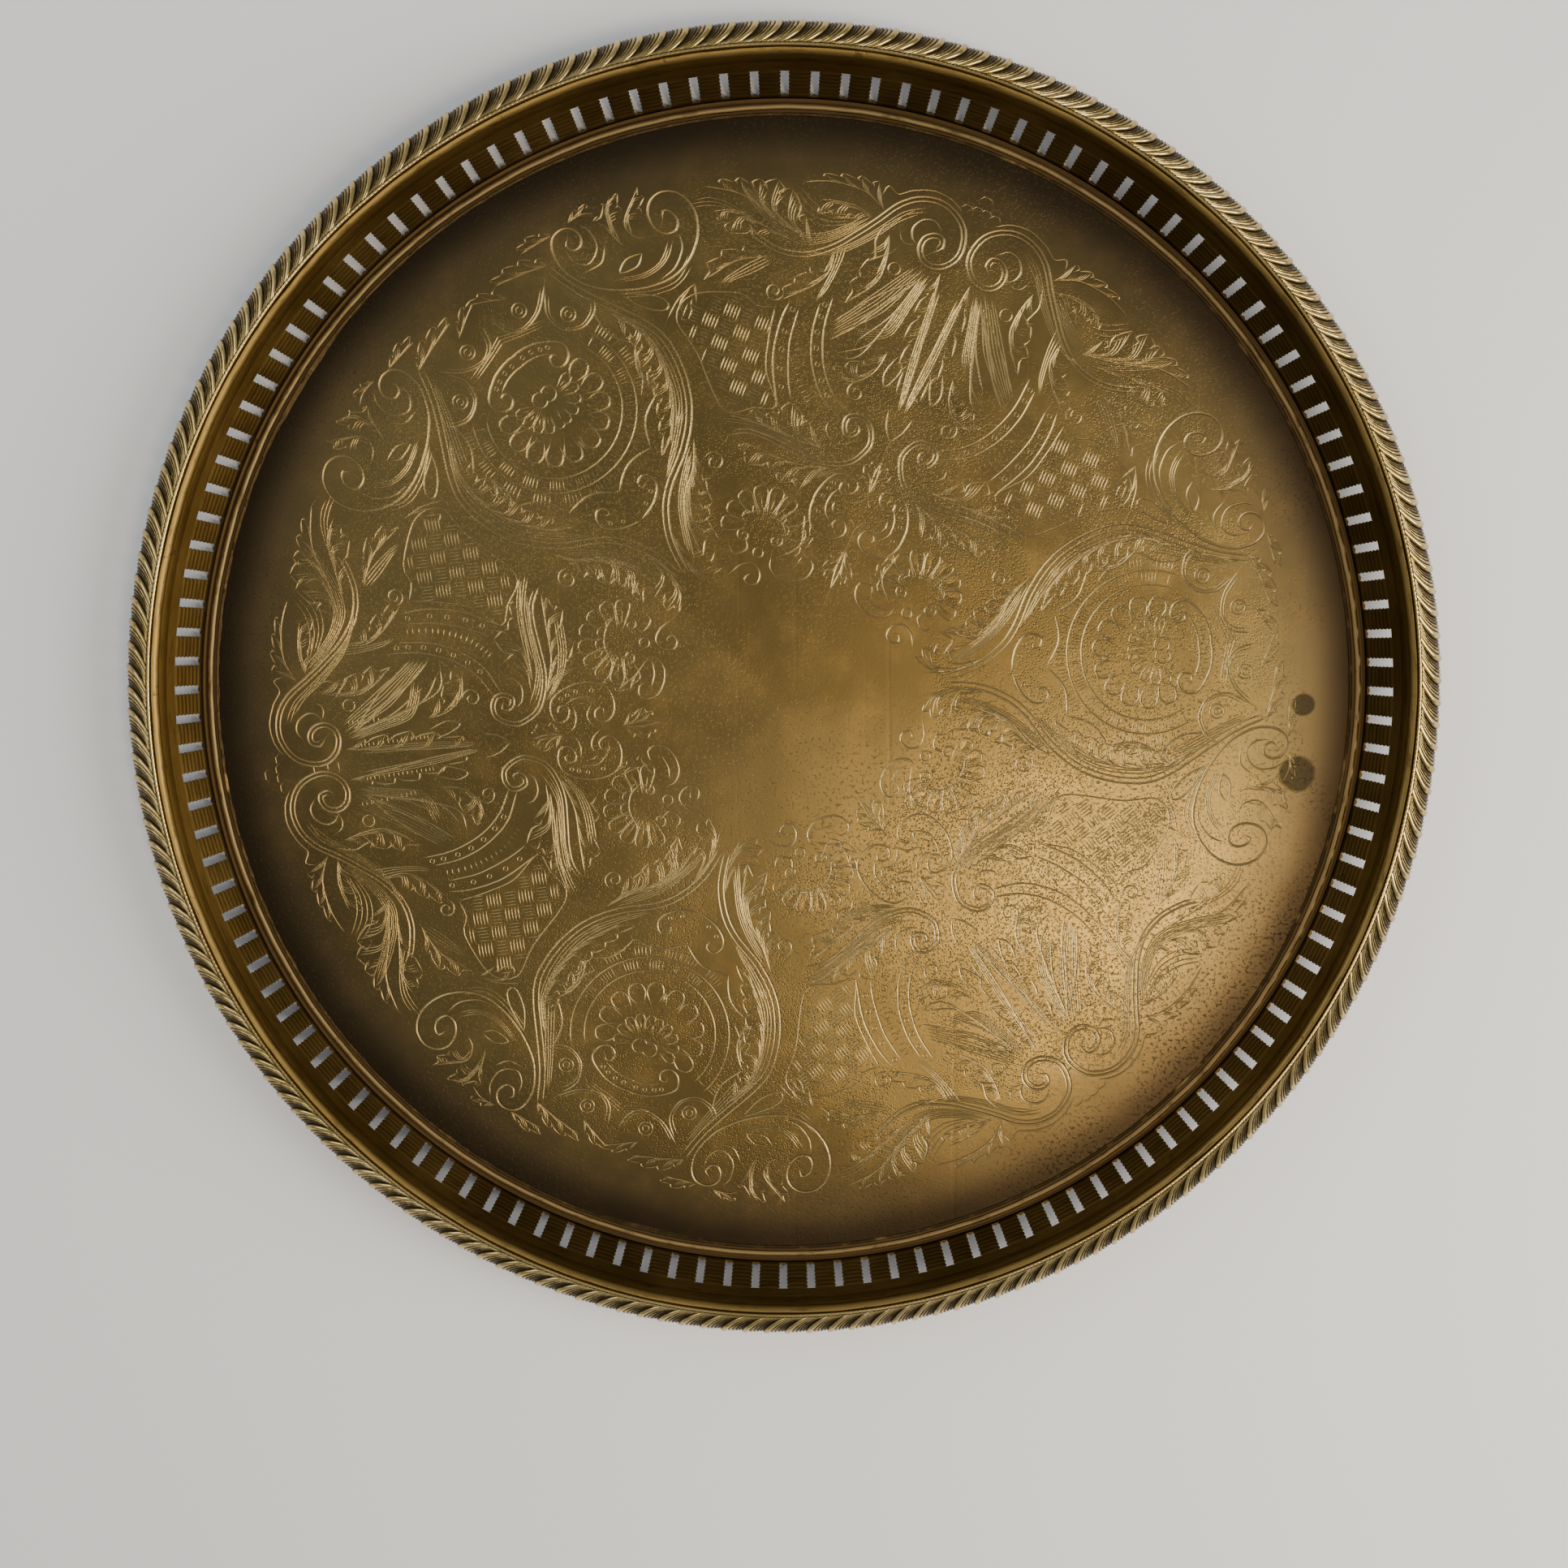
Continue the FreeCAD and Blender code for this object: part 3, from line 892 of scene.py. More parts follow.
def curl(centre, radius, start, turns=1.5, width=0.55):
    """A small spiral from a start angle in degrees; negative turns wind clockwise."""
    steps = max(6, round(abs(turns) * 9))
    points = []
    for i in range(steps + 1):
        far = radius * (1 - 0.82 * i / steps)
        spin = math.radians(start) + TURN * turns * i / steps
        points.append((centre[0] + far * math.cos(spin), centre[1] + far * math.sin(spin)))
    cut(points, width, 0.8)


def flow(first, second, count, width=0.40, start=0.0, end=1.0):
    """Hairlines that run between two guide lines, with their ends staggered."""
    a, b = curve(first), curve(second)
    for index in range(1, count + 1):
        share = index / (count + 1)
        near = start + 0.05 * (index % 3)
        far = end - 0.06 * (index % 2)
        guide = []
        for step in range(7):
            t = near + (far - near) * step / 6
            (ax, ay), (bx, by) = along(a, t), along(b, t)
            guide.append((ax + (bx - ax) * share, ay + (by - ay) * share))
        cut(guide, width, 1.8)


def ticks(points, spacing, length, width=0.42, lean=0.0):
    """Short parallel cuts standing on a line."""
    line = curve(points, spacing)
    tips = beside(line, length)
    for index in range(1, len(line) - 1):
        ahead = along(line, min(1.0, index / (len(line) - 1) + lean))
        cut([line[index], (tips[index][0] + ahead[0] - line[index][0],
                           tips[index][1] + ahead[1] - line[index][1])], width, 2.0)


def pearls(points, spacing=5.0, radius=0.75):
    line = curve(points, spacing)
    for spot in line[:-1]:
        loop(spot, radius, 0.35)


def leaf(spine, tips, width=0.5, veins=4):
    """An acanthus leaf: hairlines leave the spine almost along it and open out to each tip.

    Every lobe ends in a hooked outline, cut wider than the hairlines.
    """
    rib = cut(spine, width)
    last = len(rib) - 1
    notch = None
    for index, tip in enumerate(tips):
        nearest = min(range(last + 1), key=lambda i: math.dist(rib[i], tip))
        gap = math.dist(rib[nearest], tip)
        if gap < 1.0:
            continue
        ends = []
        for vein in range(veins):
            back = 1.0 + 1.1 * gap + 1.5 * vein
            root = rib[max(0, nearest - round(back))]
            bend = rib[max(0, nearest - round(back * 0.45))]
            mid = (bend[0] + (tip[0] - bend[0]) * 0.22, bend[1] + (tip[1] - bend[1]) * 0.22)
            slide = vein / veins
            end = (tip[0] + (root[0] - tip[0]) * (0.05 + 0.30 * slide),
                   tip[1] + (root[1] - tip[1]) * (0.05 + 0.30 * slide))
            ends.append(end)
            cut([root, mid, end], 0.38, 1.5)
        anchor = rib[nearest]
        ahead = rib[min(last, nearest + round(gap * 0.7))]
        hook = (tip[0] * 0.7 + ahead[0] * 0.3, tip[1] * 0.7 + ahead[1] * 0.3)
        cut([tip, hook, (anchor[0] * 0.45 + tip[0] * 0.55, anchor[1] * 0.45 + tip[1] * 0.55)], width, 1.0)
        if notch:
            swell = (ends[-1][0] * 0.55 + notch[0] * 0.45, ends[-1][1] * 0.55 + notch[1] * 0.45)
            away = (tip[0] - anchor[0], tip[1] - anchor[1])
            cut([notch, (swell[0] + away[0] * 0.16, swell[1] + away[1] * 0.16), tip], width * 1.15, 1.0)
        notch = (anchor[0] * 0.4 + tip[0] * 0.6 + (ahead[0] - anchor[0]) * 0.35,
                 anchor[1] * 0.4 + tip[1] * 0.6 + (ahead[1] - anchor[1]) * 0.35)


def petals(centre, radius, count, start, end, depth=0.35, width=0.5):
    """Round-ended petals standing in a fan, from one angle to another in degrees."""
    step = math.radians(end - start) / count
    for index in range(count):
        middle = math.radians(start) + step * (index + 0.5)

        def at(turn, far):
            return (centre[0] + far * math.cos(middle + turn), centre[1] + far * math.sin(middle + turn))
        cut([at(-step * 0.3, radius * depth), at(-step * 0.46, radius * 0.82),
             at(-step * 0.27, radius * 0.97), at(0, radius), at(step * 0.27, radius * 0.97),
             at(step * 0.46, radius * 0.82), at(step * 0.3, radius * depth)], width, 1.2)
        cut([at(0, radius * (depth + 0.1)), at(0, radius * 0.72)], 0.3, 2.0)


def arc_line(centre, radius, start, end, width=0.5):
    count = max(3, round(radius * math.radians(abs(end - start)) / 2.2))
    cut([(centre[0] + radius * math.cos(math.radians(start + (end - start) * i / count)),
          centre[1] + radius * math.sin(math.radians(start + (end - start) * i / count)))
         for i in range(count + 1)], width, 1.2)


def inside(spot, outline):
    """True if the spot lies inside the closed outline."""
    x, y = spot
    crossings = 0
    for (ax, ay), (bx, by) in zip(outline, outline[1:] + outline[:1]):
        if (ay > y) != (by > y) and x < ax + (y - ay) * (bx - ax) / (by - ay):
            crossings += 1
    return crossings % 2 == 1


def basket(outline, cell=5.2):
    """Basket weave: square cells hatched upright and level by turns."""
    us, ys = [p[0] for p in outline], [p[1] for p in outline]
    for column in range(math.ceil((max(us) - min(us)) / cell)):
        for row in range(math.ceil((max(ys) - min(ys)) / cell)):
            left, low = min(us) + column * cell, min(ys) + row * cell
            for line in range(5):
                offset = (line + 0.5) * cell / 5
                if (column + row) % 2:
                    ends = (left + offset, low + 0.3), (left + offset, low + cell - 0.3)
                else:
                    ends = (left + 0.3, low + offset), (left + cell - 0.3, low + offset)
                if inside(ends[0], outline) and inside(ends[1], outline):
                    cut(ends, 0.46, 5.0)
    cut(outline + outline[:1], 0.5, 2.0)


# %% [markdown]
# ### The heart scroll and its plume
# Two big volutes meet at each scroll axis.  A plume of feathers falls between them.

# %% Heart scroll and plume
double([(9.0, 146.5), (7.2, 148.2), (8.0, 151.0), (10.8, 151.5), (13.8, 149.3), (14.3, 145.5),
        (12, 142.3), (8.2, 141.4), (4.2, 143), (1.3, 147), (1.2, 152), (3.6, 157), (8.5, 160.3),
        (14, 161.2), (20, 159.5), (25, 155.5), (29, 149.5), (33.5, 143.2), (39, 136.5),
        (46, 131.3), (54, 129.6), (62, 131), (66, 133)], -1.3, 0.85)
cut([(9.5, 153), (12.5, 154.8), (16, 153.8), (18, 150.5), (17, 147.5), (14.8, 146.2)], 0.75)
cut([(21.3, 148), (20, 146), (18, 145.3), (15.6, 146.1)])
cut([(5.5, 160.3), (10, 162.6), (16, 163), (22, 160.8), (26, 158), (29.5, 159.3), (30.5, 156.3)])
flow([(14, 158.5), (20, 157), (26, 150), (32, 142), (40, 134), (50, 131)],
     [(17, 155), (21, 152), (25, 146), (30, 140), (37, 134), (46, 130.5)], 4)
for side, top in ((1.4, 161.5), (4.6, 161.0), (0.2, 165.2)):
    arc_line((side, top), 2.2, 20, 160, 0.5)
for height in (151.5, 147.0, 143.5):
    cut([(-1.5, height), (1.5, height)], 0.5)
loop((18.7, 137), 1.9)
cut([(26, 149), (27.3, 143), (25.5, 138), (27, 136.3), (21.5, 141)])
leaf([(24, 146), (22, 139), (22, 132), (26, 125)], [(27.5, 138), (28.5, 133), (30, 128), (29, 122)])
leaf([(5, 141), (3.5, 130), (1.5, 115), (0.5, 100)],
     [(7.5, 134), (8, 127), (8, 119), (6.5, 111), (4, 103)], 0.6, 3)
flow([(2.5, 137), (1.8, 128), (0.8, 112), (0.3, 98)], [(5.5, 137), (5, 128), (4, 112), (1.5, 98)], 4)
flow([(8, 140), (12, 132), (17, 122), (29, 110)], [(14, 140), (19, 133), (24, 126), (30, 115.5)], 7)
flow([(7, 138), (9, 128), (12, 117), (21, 113)], [(9, 140), (12, 130), (15, 120), (24, 116.5)], 5)
for tip, mid in (((30, 115.5), (21, 127)), ((24, 116.5), (17, 127)), ((21, 113), (14, 124)),
                 ((29, 110), (22, 118)), ((24, 108), (16, 115)), ((26, 106.3), (18, 110))):
    cut([(10, 137), mid, tip], 0.6)
ticks([(12.5, 139), (12, 130), (11, 120)], 1.5, 1.6)
ticks([(4.7, 136), (4.6, 125), (4.5, 113)], 1.4, 1.4)
cut([(4, 97), (2.8, 92), (0, 88)])
cut([(7.5, 113), (5, 110), (6, 106), (8, 103), (9.5, 107), (7.5, 113)])
curl((15.5, 98), 3.2, 90, -1.4)
leaf([(11, 113), (12.5, 106), (17, 101), (23, 100)], [(17, 108), (21, 106), (25, 103)])

# %% [markdown]
# ### Pearled bands and basket weave
# Two bands of pearls bow outward beside the plume, and a panel of basket weave fills
# the space behind them.

# %% Pearled bands and basket weave
outer_pearl_line = [(45, 115.5), (45.3, 108), (43, 97), (36.5, 84.7)]
inner_pearl_line = [(36, 119), (35, 110), (31.5, 101), (25, 93), (16, 88.5)]
cut(outer_pearl_line, 0.65)
cut([(41.5, 115), (40.5, 105), (37, 95), (33.5, 88.5)], 0.55)
pearls([(43.2, 114), (43, 107), (40.2, 96), (35.5, 87.5)])
cut(inner_pearl_line, 0.6)
cut([(33, 122), (32, 112), (28, 102), (22, 95), (15, 91)])
pearls([(34.5, 119), (33.5, 110.5), (29.8, 101.5), (23.5, 94), (17, 90.5)])
ticks([(38, 116), (37.3, 107), (33.5, 97), (27, 90)], 1.7, 1.8)
basket([(48.5, 112.7), (54, 111), (60, 112.5), (73.5, 106.5), (75.5, 98), (66, 91), (52, 78),
        (43, 82), (37, 85), (44, 94), (47, 104)])

# %% [markdown]
# ### Leaves at the rim
# Acanthus leaves and hairline shading, where the ornament comes nearest the floor's edge.

# %% Rim leaves
flow([(30, 148.5), (38, 138.5), (48, 132.5), (60, 135), (72, 141)],
     [(33, 149), (42, 140), (52, 137), (62, 141), (70, 145)], 6)
flow([(36, 144), (44, 139.5), (52, 140), (58, 145)], [(34, 149), (41, 147), (48, 147.5), (54, 150)], 4)
flow([(60, 131.5), (67, 133.5), (76, 133), (84, 129)], [(62, 133), (69, 136), (78, 137), (84, 134)], 3)
leaf([(28, 152), (36, 155), (46, 154), (54, 150.7)],
     [(33, 159.5), (38.5, 159), (44, 157.5), (49, 155.5), (54, 150.7)], 0.6)
leaf([(30, 149), (38, 150), (47, 148)], [(37, 145.5), (42, 144.5), (47, 143.5)])
leaf([(45, 135), (58, 137), (70, 140), (82, 138)],
     [(50, 142), (57, 147.5), (62, 148.5), (67, 146.5), (73, 144.5), (78, 142), (82, 138)], 0.65)
leaf([(50, 133), (60, 134), (70, 135), (77, 132)], [(63, 130), (70, 128), (74, 130)])
leaf([(38, 136), (37, 129), (40, 123), (47, 116)], [(43, 128), (46, 123.5), (48.5, 119), (46.5, 115.5)])
flow([(34, 141), (34, 132), (35, 124), (37, 119)], [(38, 136), (37, 130), (37.5, 124), (38, 119.2)], 3)
curl((50.5, 117), 3.0, 180, 1.5)
leaf([(55, 126), (60, 124), (66, 120), (70, 114)], [(64, 126), (70, 122.5), (73, 117), (72, 112)])
flow([(56, 128), (62, 122), (66, 116), (68, 112)], [(54, 124), (58, 119), (62, 116), (64, 114)], 4)

# %% [markdown]
# ### The inner scroll and cartouche
# A second pair of volutes closes the plume's foot above a small cartouche.

# %% Inner scroll and cartouche
flow([(20, 75), (30, 76), (42, 76), (52, 73)], [(24, 79), (32, 80), (42, 80), (51, 78)], 4)
flow([(10, 76), (18, 71), (27, 69), (38, 69)], [(13, 72), (20, 67), (27, 65), (35, 65)], 4)
double([(12.5, 88.3), (10.8, 89), (10, 87), (11.5, 85), (14, 84.8), (15.6, 87.5), (15.3, 90.5),
        (12, 92.3), (8, 91.5), (5.3, 87.5), (5.0, 83.5), (8, 77.8), (13, 74.8), (20, 73.3),
        (28, 73.8), (36, 74.5), (42, 74), (47, 71.5)], 1.2, 0.75)
cut([(10.7, 84), (13, 82), (17, 81.8), (19.8, 84), (20, 86.5)])
cut([(25, 81), (21, 79), (15, 79)])
leaf([(18, 78), (28, 78), (40, 78), (50, 77)], [(26, 85), (33, 88), (38, 82.5), (43, 81.5), (50, 77)], 0.6)
leaf([(14, 74), (24, 71), (34, 71), (45, 71)],
     [(21, 63.5), (27.5, 63.5), (32, 66.5), (39, 65), (43, 69)], 0.6)
flow([(10, 78), (18, 74.8), (30, 75.2), (44, 74.5)], [(12, 80.5), (20, 77), (30, 77), (46, 76.5)], 3)
cut([(6.5, 70), (7.2, 71.5), (9, 70.8), (9, 68.8), (7.5, 67.8), (5.3, 68.5), (3.9, 70.5), (4.5, 72.8),
     (8, 73.8), (11.5, 72.8), (14, 69.5), (15.5, 64), (14.8, 58), (12.3, 54.5), (8.5, 53.3), (5, 53.8),
     (2.6, 56), (2.5, 58.3), (4, 60), (6.3, 59.5), (7.1, 58), (6.5, 57), (5.2, 57.2)], 0.7)
cut([(9.2, 69.2), (10.8, 66), (11, 62), (9.5, 59.5), (7.5, 57.8)])
pearls([(11.4, 70), (13, 65), (12.6, 60), (10.6, 56.8)], 3.4, 0.6)
cut([(8, 66.5), (5, 66), (2, 67), (0.5, 69)])
cut([(8, 61), (5, 62.5), (2, 61.5), (0, 59)])
cut([(8.8, 65), (9, 63), (8, 61.3)])
leaf([(0, 71), (0.6, 76), (0, 81.3)], [(4.5, 74), (4.6, 78.5), (2.5, 80.5)], 0.5, 2)
leaf([(0, 52), (0.8, 46), (0, 39)], [(4, 49), (5, 44.5), (3.5, 42.0), (0, 39)], 0.5, 2)

# %% [markdown]
# ### The S-scroll and long stem
# From the rim a broad S-scroll runs in beside the shell, and its stem sweeps down to the
# palmettes round the plain middle.

# %% S-scroll and stem
flow([(118, 96.5), (106, 94), (94, 92.5), (84, 91)], [(112, 92), (104, 90), (95, 88), (88, 86.5)], 4)
flow([(80, 120), (80.5, 112), (86, 105.5), (97, 100)], [(76, 112), (78, 106), (84, 101), (93, 96.5)], 3)
flow([(58, 66), (57, 54), (54, 44), (47, 33)], [(55, 60), (53.5, 52), (50, 43), (42, 31)], 4)
flow([(62, 72), (60, 60), (60, 50)], [(66, 76), (64, 66), (61.5, 54)], 3)
cut([(90.3, 124), (91.2, 126.3), (88.8, 127), (86, 125.5), (85.3, 122.5), (88, 120.3), (92, 120.8),
     (95.3, 124), (95.8, 128), (93.5, 131.5), (89, 133), (84, 131.5), (80.5, 128), (78.3, 122.5),
     (78.3, 116), (80.5, 110), (85, 105), (92, 100.5), (100, 97.7), (106, 97), (113, 98.3),
     (118, 102), (119.6, 106), (118, 109.5), (115, 110.8), (112, 109.8), (110.8, 107), (112.5, 105),
     (115, 105.5), (115.3, 107.3)], 0.85)
cut([(84, 122), (81.5, 118), (81.5, 112), (84, 107.5)])
flow([(84.5, 120), (84, 113), (88, 106), (96, 101)], [(87, 118), (87, 112), (91, 106.5), (98, 102.5)], 3)
cut([(114, 113), (110, 112.3), (106.5, 109.5), (105.6, 106), (107, 102.6), (111, 102), (114.5, 104)])
cut([(104, 110), (103, 105), (106, 101)])
cut([(92.5, 112.3), (92.4, 108), (96.5, 104.2), (96.4, 108.5), (92.5, 112.3)])
leaf([(93, 117), (97, 116), (101, 119), (101, 128)], [(97, 123.5), (98, 128), (101, 130)])
leaf([(98, 112), (103, 114), (107, 119), (108, 124)], [(103, 122), (106, 126), (109.5, 121), (110, 115.5)])
leaf([(120, 107), (124, 102), (127, 98)], [(124, 106), (127.5, 103), (129, 99)])
leaf([(117, 112), (114, 116), (110, 118)], [(117, 116.5), (114, 119.5)])
cut([(94, 98.5), (86, 101.5), (81, 102), (79, 100.5), (80.5, 98.5), (87, 97.3), (94, 98.5)])
stem = [(118, 98), (108, 95.5), (95, 94.5), (85, 94), (77, 92), (70, 87), (64, 80), (60, 72),
        (58, 62), (58, 50), (56, 42), (51, 34), (43, 27)]
double(stem, 1.7, 0.75)
leaf([(95, 92), (84, 91), (74, 84), (67, 74), (63, 62)],
     [(88, 86.5), (84, 85), (80, 79.5), (76, 76), (73, 73), (70.5, 68.5), (68, 64), (64.5, 57.5)], 0.6)
flow([(96, 93), (84, 92.3), (72, 86), (63, 74), (59.5, 58)],
     [(94, 90.5), (84, 89.5), (75, 83), (67, 74), (62.5, 60)], 3)
curl((48.5, 62), 3.3, 0, 1.5)
leaf([(57, 66), (54, 58), (53, 48), (48, 38)],
     [(48, 57), (47, 52.5), (44.5, 50), (43.5, 46), (41, 42), (37.5, 39.5), (41, 33.5)], 0.6)
leaf([(53, 37), (46, 30), (38, 26)], [(38, 36), (34, 32.5), (33, 29), (38, 26)], 0.5, 2)
leaf([(74, 110), (77, 104), (78, 97)], [(71, 104), (72, 99), (78, 97)], 0.5, 2)

# %% [markdown]
# ### Palmettes round the plain middle
# A fan of nine petals round a smaller fan of five, standing on two curls, with scrolls
# and one small leaf beside it.

# %% Palmettes
petals((26.5, 48.5), 13.5, 9, -25, 205)
petals((26.5, 48.5), 8.0, 5, 0, 180, 0.5, 0.4)
cut([(35, 49), (32, 52), (27, 53.7), (22, 52.5), (19, 49)], 0.55)
curl((31.5, 44.5), 2.4, 60, -1.3)
curl((21.5, 46.5), 2.3, 120, 1.3)
loop((25.3, 41), 1.6)
cut([(31.5, 44.5), (29, 41), (32, 38), (35, 40)])
cut([(21, 41), (20, 38), (16.5, 36), (12, 36.7), (8.5, 39.3), (7.5, 43), (9, 45), (12, 44.5),
     (12.5, 42.5)], 0.6)
cut([(19, 39.5), (15, 39.3), (11, 41)])
cut([(31, 32), (29, 35.5), (25.5, 37.3), (22.5, 35.5), (22, 32.3), (24, 30.7), (26.3, 31.7),
     (25.5, 33.8), (24, 33.5)], 0.6)
leaf([(20, 41), (14, 48), (16, 56)], [(10, 48), (11, 52), (14, 57)], 0.45, 2)

# %% [markdown]
# ### The shell
# A flower inside a scalloped shell, ringed by brick hatching and a cusped outline.

# %% Shell, scrolls and pods
SHELL = (100.5, 58.5)
INWARD = 210                     # direction from the shell to the tray's middle, in degrees
petals((103, 61), 9.5, 9, INWARD - 115, INWARD + 115, 0.4, 0.5)
loop((104, 62), 2.4)
petals(SHELL, 17.3, 10, INWARD - 122, INWARD + 122, 0.62, 0.7)
for ring, first in ((21.0, 0), (25.5, 1)):
    arc_line(SHELL, ring, INWARD - 118, INWARD + 118, 0.55)
    for cell in range(22):
        side = INWARD - 113 + cell * 10.3
        for line in range(4 if (cell + first) % 2 else 1):
            far = ring + (0.6 if line == 0 else 0.5)
            spin = math.radians(side + line * 2.4)
            cut([(SHELL[0] + far * math.cos(spin), SHELL[1] + far * math.sin(spin)),
                 (SHELL[0] + (far + 3.4) * math.cos(spin), SHELL[1] + (far + 3.4) * math.sin(spin))], 0.35, 4)
for cusp in range(8):
    side = INWARD - 120 + cusp * 30
    points = []
    for share, far in ((0, 32), (0.25, 29.3), (0.5, 28.3), (0.75, 29.3), (1, 32)):
        spin = math.radians(side + 30 * share)
        points.append((SHELL[0] + far * math.cos(spin), SHELL[1] + far * math.sin(spin)))
    cut(points, 0.7)
cut([(105, 73), (106.5, 73.8), (107.5, 72.2), (105.5, 70.3), (102.8, 71.5), (102.3, 75), (105, 77.7),
     (109, 77), (114, 74), (118, 69), (119.7, 63)], 0.8)
cut([(108, 73.5), (112, 70.5), (115, 66), (116, 60)])
pearls([(109.3, 74.9), (113.6, 71.6), (116.6, 67)], 3.6, 0.65)
cut([(66, 47.5), (66.5, 46), (68.3, 47), (68, 49.5), (65.5, 50.2), (62.5, 48.5), (61.5, 43), (63, 37)], 0.75)
pearls([(63.6, 46), (63.6, 42), (65, 38)], 3.4, 0.6)
for edge, eye in (([(116, 90), (113, 84), (107, 81.7), (101.5, 84.5), (99.7, 90), (101, 93.7)], (107, 86.7)),
                  ([(117, 92), (115.7, 84), (118, 77), (123, 74.6), (129, 76.5)], (121.5, 82))):
    cut(edge, 0.65)
    cut([(p[0] * 0.85 + eye[0] * 0.15, p[1] * 0.85 + eye[1] * 0.15) for p in edge], 0.4)
    loop(eye, 2.3)
    loop(eye, 1.1, 0.35)
leaf([(118, 98), (124, 93), (131, 86)], [(122, 98.5), (127, 96), (130.5, 92), (133, 87)], 0.5)
leaf([(126, 84), (133, 80), (137, 77)], [(131, 84.5), (135, 82), (137, 78.5)], 0.5, 2)
flow([(112, 80), (118, 74), (123, 69)], [(114, 83), (121, 76), (128, 71)], 3)
leaf([(84, 82), (79, 78), (77, 72)], [(80, 84), (76, 80), (73, 76)], 0.45, 2)
print(f"{len(strokes)} strokes, {sum(len(line) for line, _ in strokes)} points in one sixth")

# %% [markdown]
# ### Cutting the strokes into the plate
# Each stroke becomes three constrained lines: the two edges of the cut and its bottom.
# Where cuts cross, the triangulation adds the crossing points.  A point's depth is then
# the deepest of the V-cuts that cover it, so crossings come out right.  The sixth is
# mirrored and turned to make the whole plate, whose back is plain.

# %% Triangulate one sixth


def wedge_mesh(outer):
    points, edges = [], []

    def chain(line):
        first = len(points)
        points.extend(line)
        edges.extend((i, i + 1) for i in range(first, len(points) - 1))

    segments = []
    for line, half in strokes:
        wide = list(zip(beside(line, 1), beside(line, -1), line, half))
        chain([(x + (a - x) * h, y + (b - y) * h) for (a, b), _, (x, y), h in wide])
        chain([(x + (a - x) * h, y + (b - y) * h) for _, (a, b), (x, y), h in wide])
        chain(line)
        segments += list(zip(line, line[1:], half, half[1:]))
    turns = [WEDGE * i / RIM_STEPS for i in range(RIM_STEPS + 1)]
    rim = [(outer * math.sin(turn), outer * math.cos(turn)) for turn in turns]
    border = [(0.0, 0.0), *rim, (0.0, 0.0)]
    chain(border)
    for ring in (0.12, 0.22, 0.9, 0.95):
        chain([(x * ring, y * ring) for x, y in rim])
    spots, _, triangles, *_ = delaunay_2d_cdt([Vector(p) for p in points], edges, [], 0, 1e-4)
    tree = kdtree.KDTree(len(segments))
    for index, (a, b, _, _) in enumerate(segments):
        tree.insert(((a[0] + b[0]) / 2, (a[1] + b[1]) / 2, 0), index)
    tree.balance()
    reach_out = max(math.dist(a, b) for a, b, _, _ in segments) / 2 + 0.5
    depths = []
    for spot in spots:
        deepest = 0.0
        for _, index, _ in tree.find_range((spot.x, spot.y, 0), reach_out):
            a, b, wide_a, wide_b = segments[index]
            dx, dy = b[0] - a[0], b[1] - a[1]
            share = ((spot.x - a[0]) * dx + (spot.y - a[1]) * dy) / ((dx * dx + dy * dy) or 1)
            share = min(1.0, max(0.0, share))
            away = math.hypot(spot.x - a[0] - dx * share, spot.y - a[1] - dy * share)
            deepest = max(deepest, wide_a + (wide_b - wide_a) * share - away - 0.015)
        depths.append(deepest)
    kept = []
    for triangle in triangles:
        u = sum(spots[i].x for i in triangle) / 3
        y = sum(spots[i].y for i in triangle) / 3
        if 0 <= math.atan2(u, y) <= WEDGE and math.hypot(u, y) < outer:
            kept.append(tuple(triangle))
    return spots, depths, kept


spots, depths, triangles = wedge_mesh(floor_radius)
print(f"one sixth: {len(spots)} points, {len(triangles)} triangles, deepest {max(depths) * SLOPE:.2f} mm")

# %% Assemble the plate


def plate_third(turn):
    """One third of the plate: the drawn sixth, its mirror image, and plain sides and back."""
    used = sorted({i for triangle in triangles for i in triangle})
    renumber = {old: new for new, old in enumerate(used)}
    points, faces, values = [], [], []
    axis = SCROLL_AXIS + turn * TURN / 3
    for side in (1, -1):
        first = len(points)
        for i in used:
            u, y = spots[i].x * side, spots[i].y
            points.append((y * math.cos(axis) - u * math.sin(axis),
                           y * math.sin(axis) + u * math.cos(axis), floor_top - depths[i] * SLOPE))
            values.append(min(1.0, depths[i] / 0.3))
        for triangle in triangles:
            corners = [first + renumber[i] for i in triangle]
            faces.append(corners if side < 0 else corners[::-1])
    piece = mesh_piece(f"engraved_floor_{turn + 1}", points, faces, floor_finish, 10)
    mesh = piece.data
    mesh.attributes.new("depth", "FLOAT", "POINT").data.foreach_set("value", values)
    shell = bmesh.new()
    shell.from_mesh(mesh)
    bmesh.ops.remove_doubles(shell, verts=shell.verts, dist=0.004 * MM)
    bmesh.ops.holes_fill(shell, edges=[e for e in shell.edges if e.is_boundary], sides=8)
    edge = [e for e in shell.edges if e.is_boundary]
    sides = bmesh.ops.extrude_edge_only(shell, edges=edge)["geom"]
    depth_layer = shell.verts.layers.float["depth"]
    for corner in [g for g in sides if isinstance(g, bmesh.types.BMVert)]:
        corner.co.z = 0
        corner[depth_layer] = 0
    bmesh.ops.contextual_create(shell, geom=[g for g in sides if isinstance(g, bmesh.types.BMEdge)])
    bmesh.ops.triangulate(shell, faces=[f for f in shell.faces if len(f.verts) > 4])
    shell.to_mesh(mesh)
    open_edges = sum(e.is_boundary for e in shell.edges)
    shell.free()
    finish_mesh(mesh, 10)
    print(f"{piece.name} has {open_edges} open edges")
    return piece


for third in range(3):
    ring_piece(plate_third(third), "base_plate")

# %% [markdown]
# ## Under the border
# The solder that backs the border is hidden from above, so its CAD shape is kept and
# given the dull solder finish.

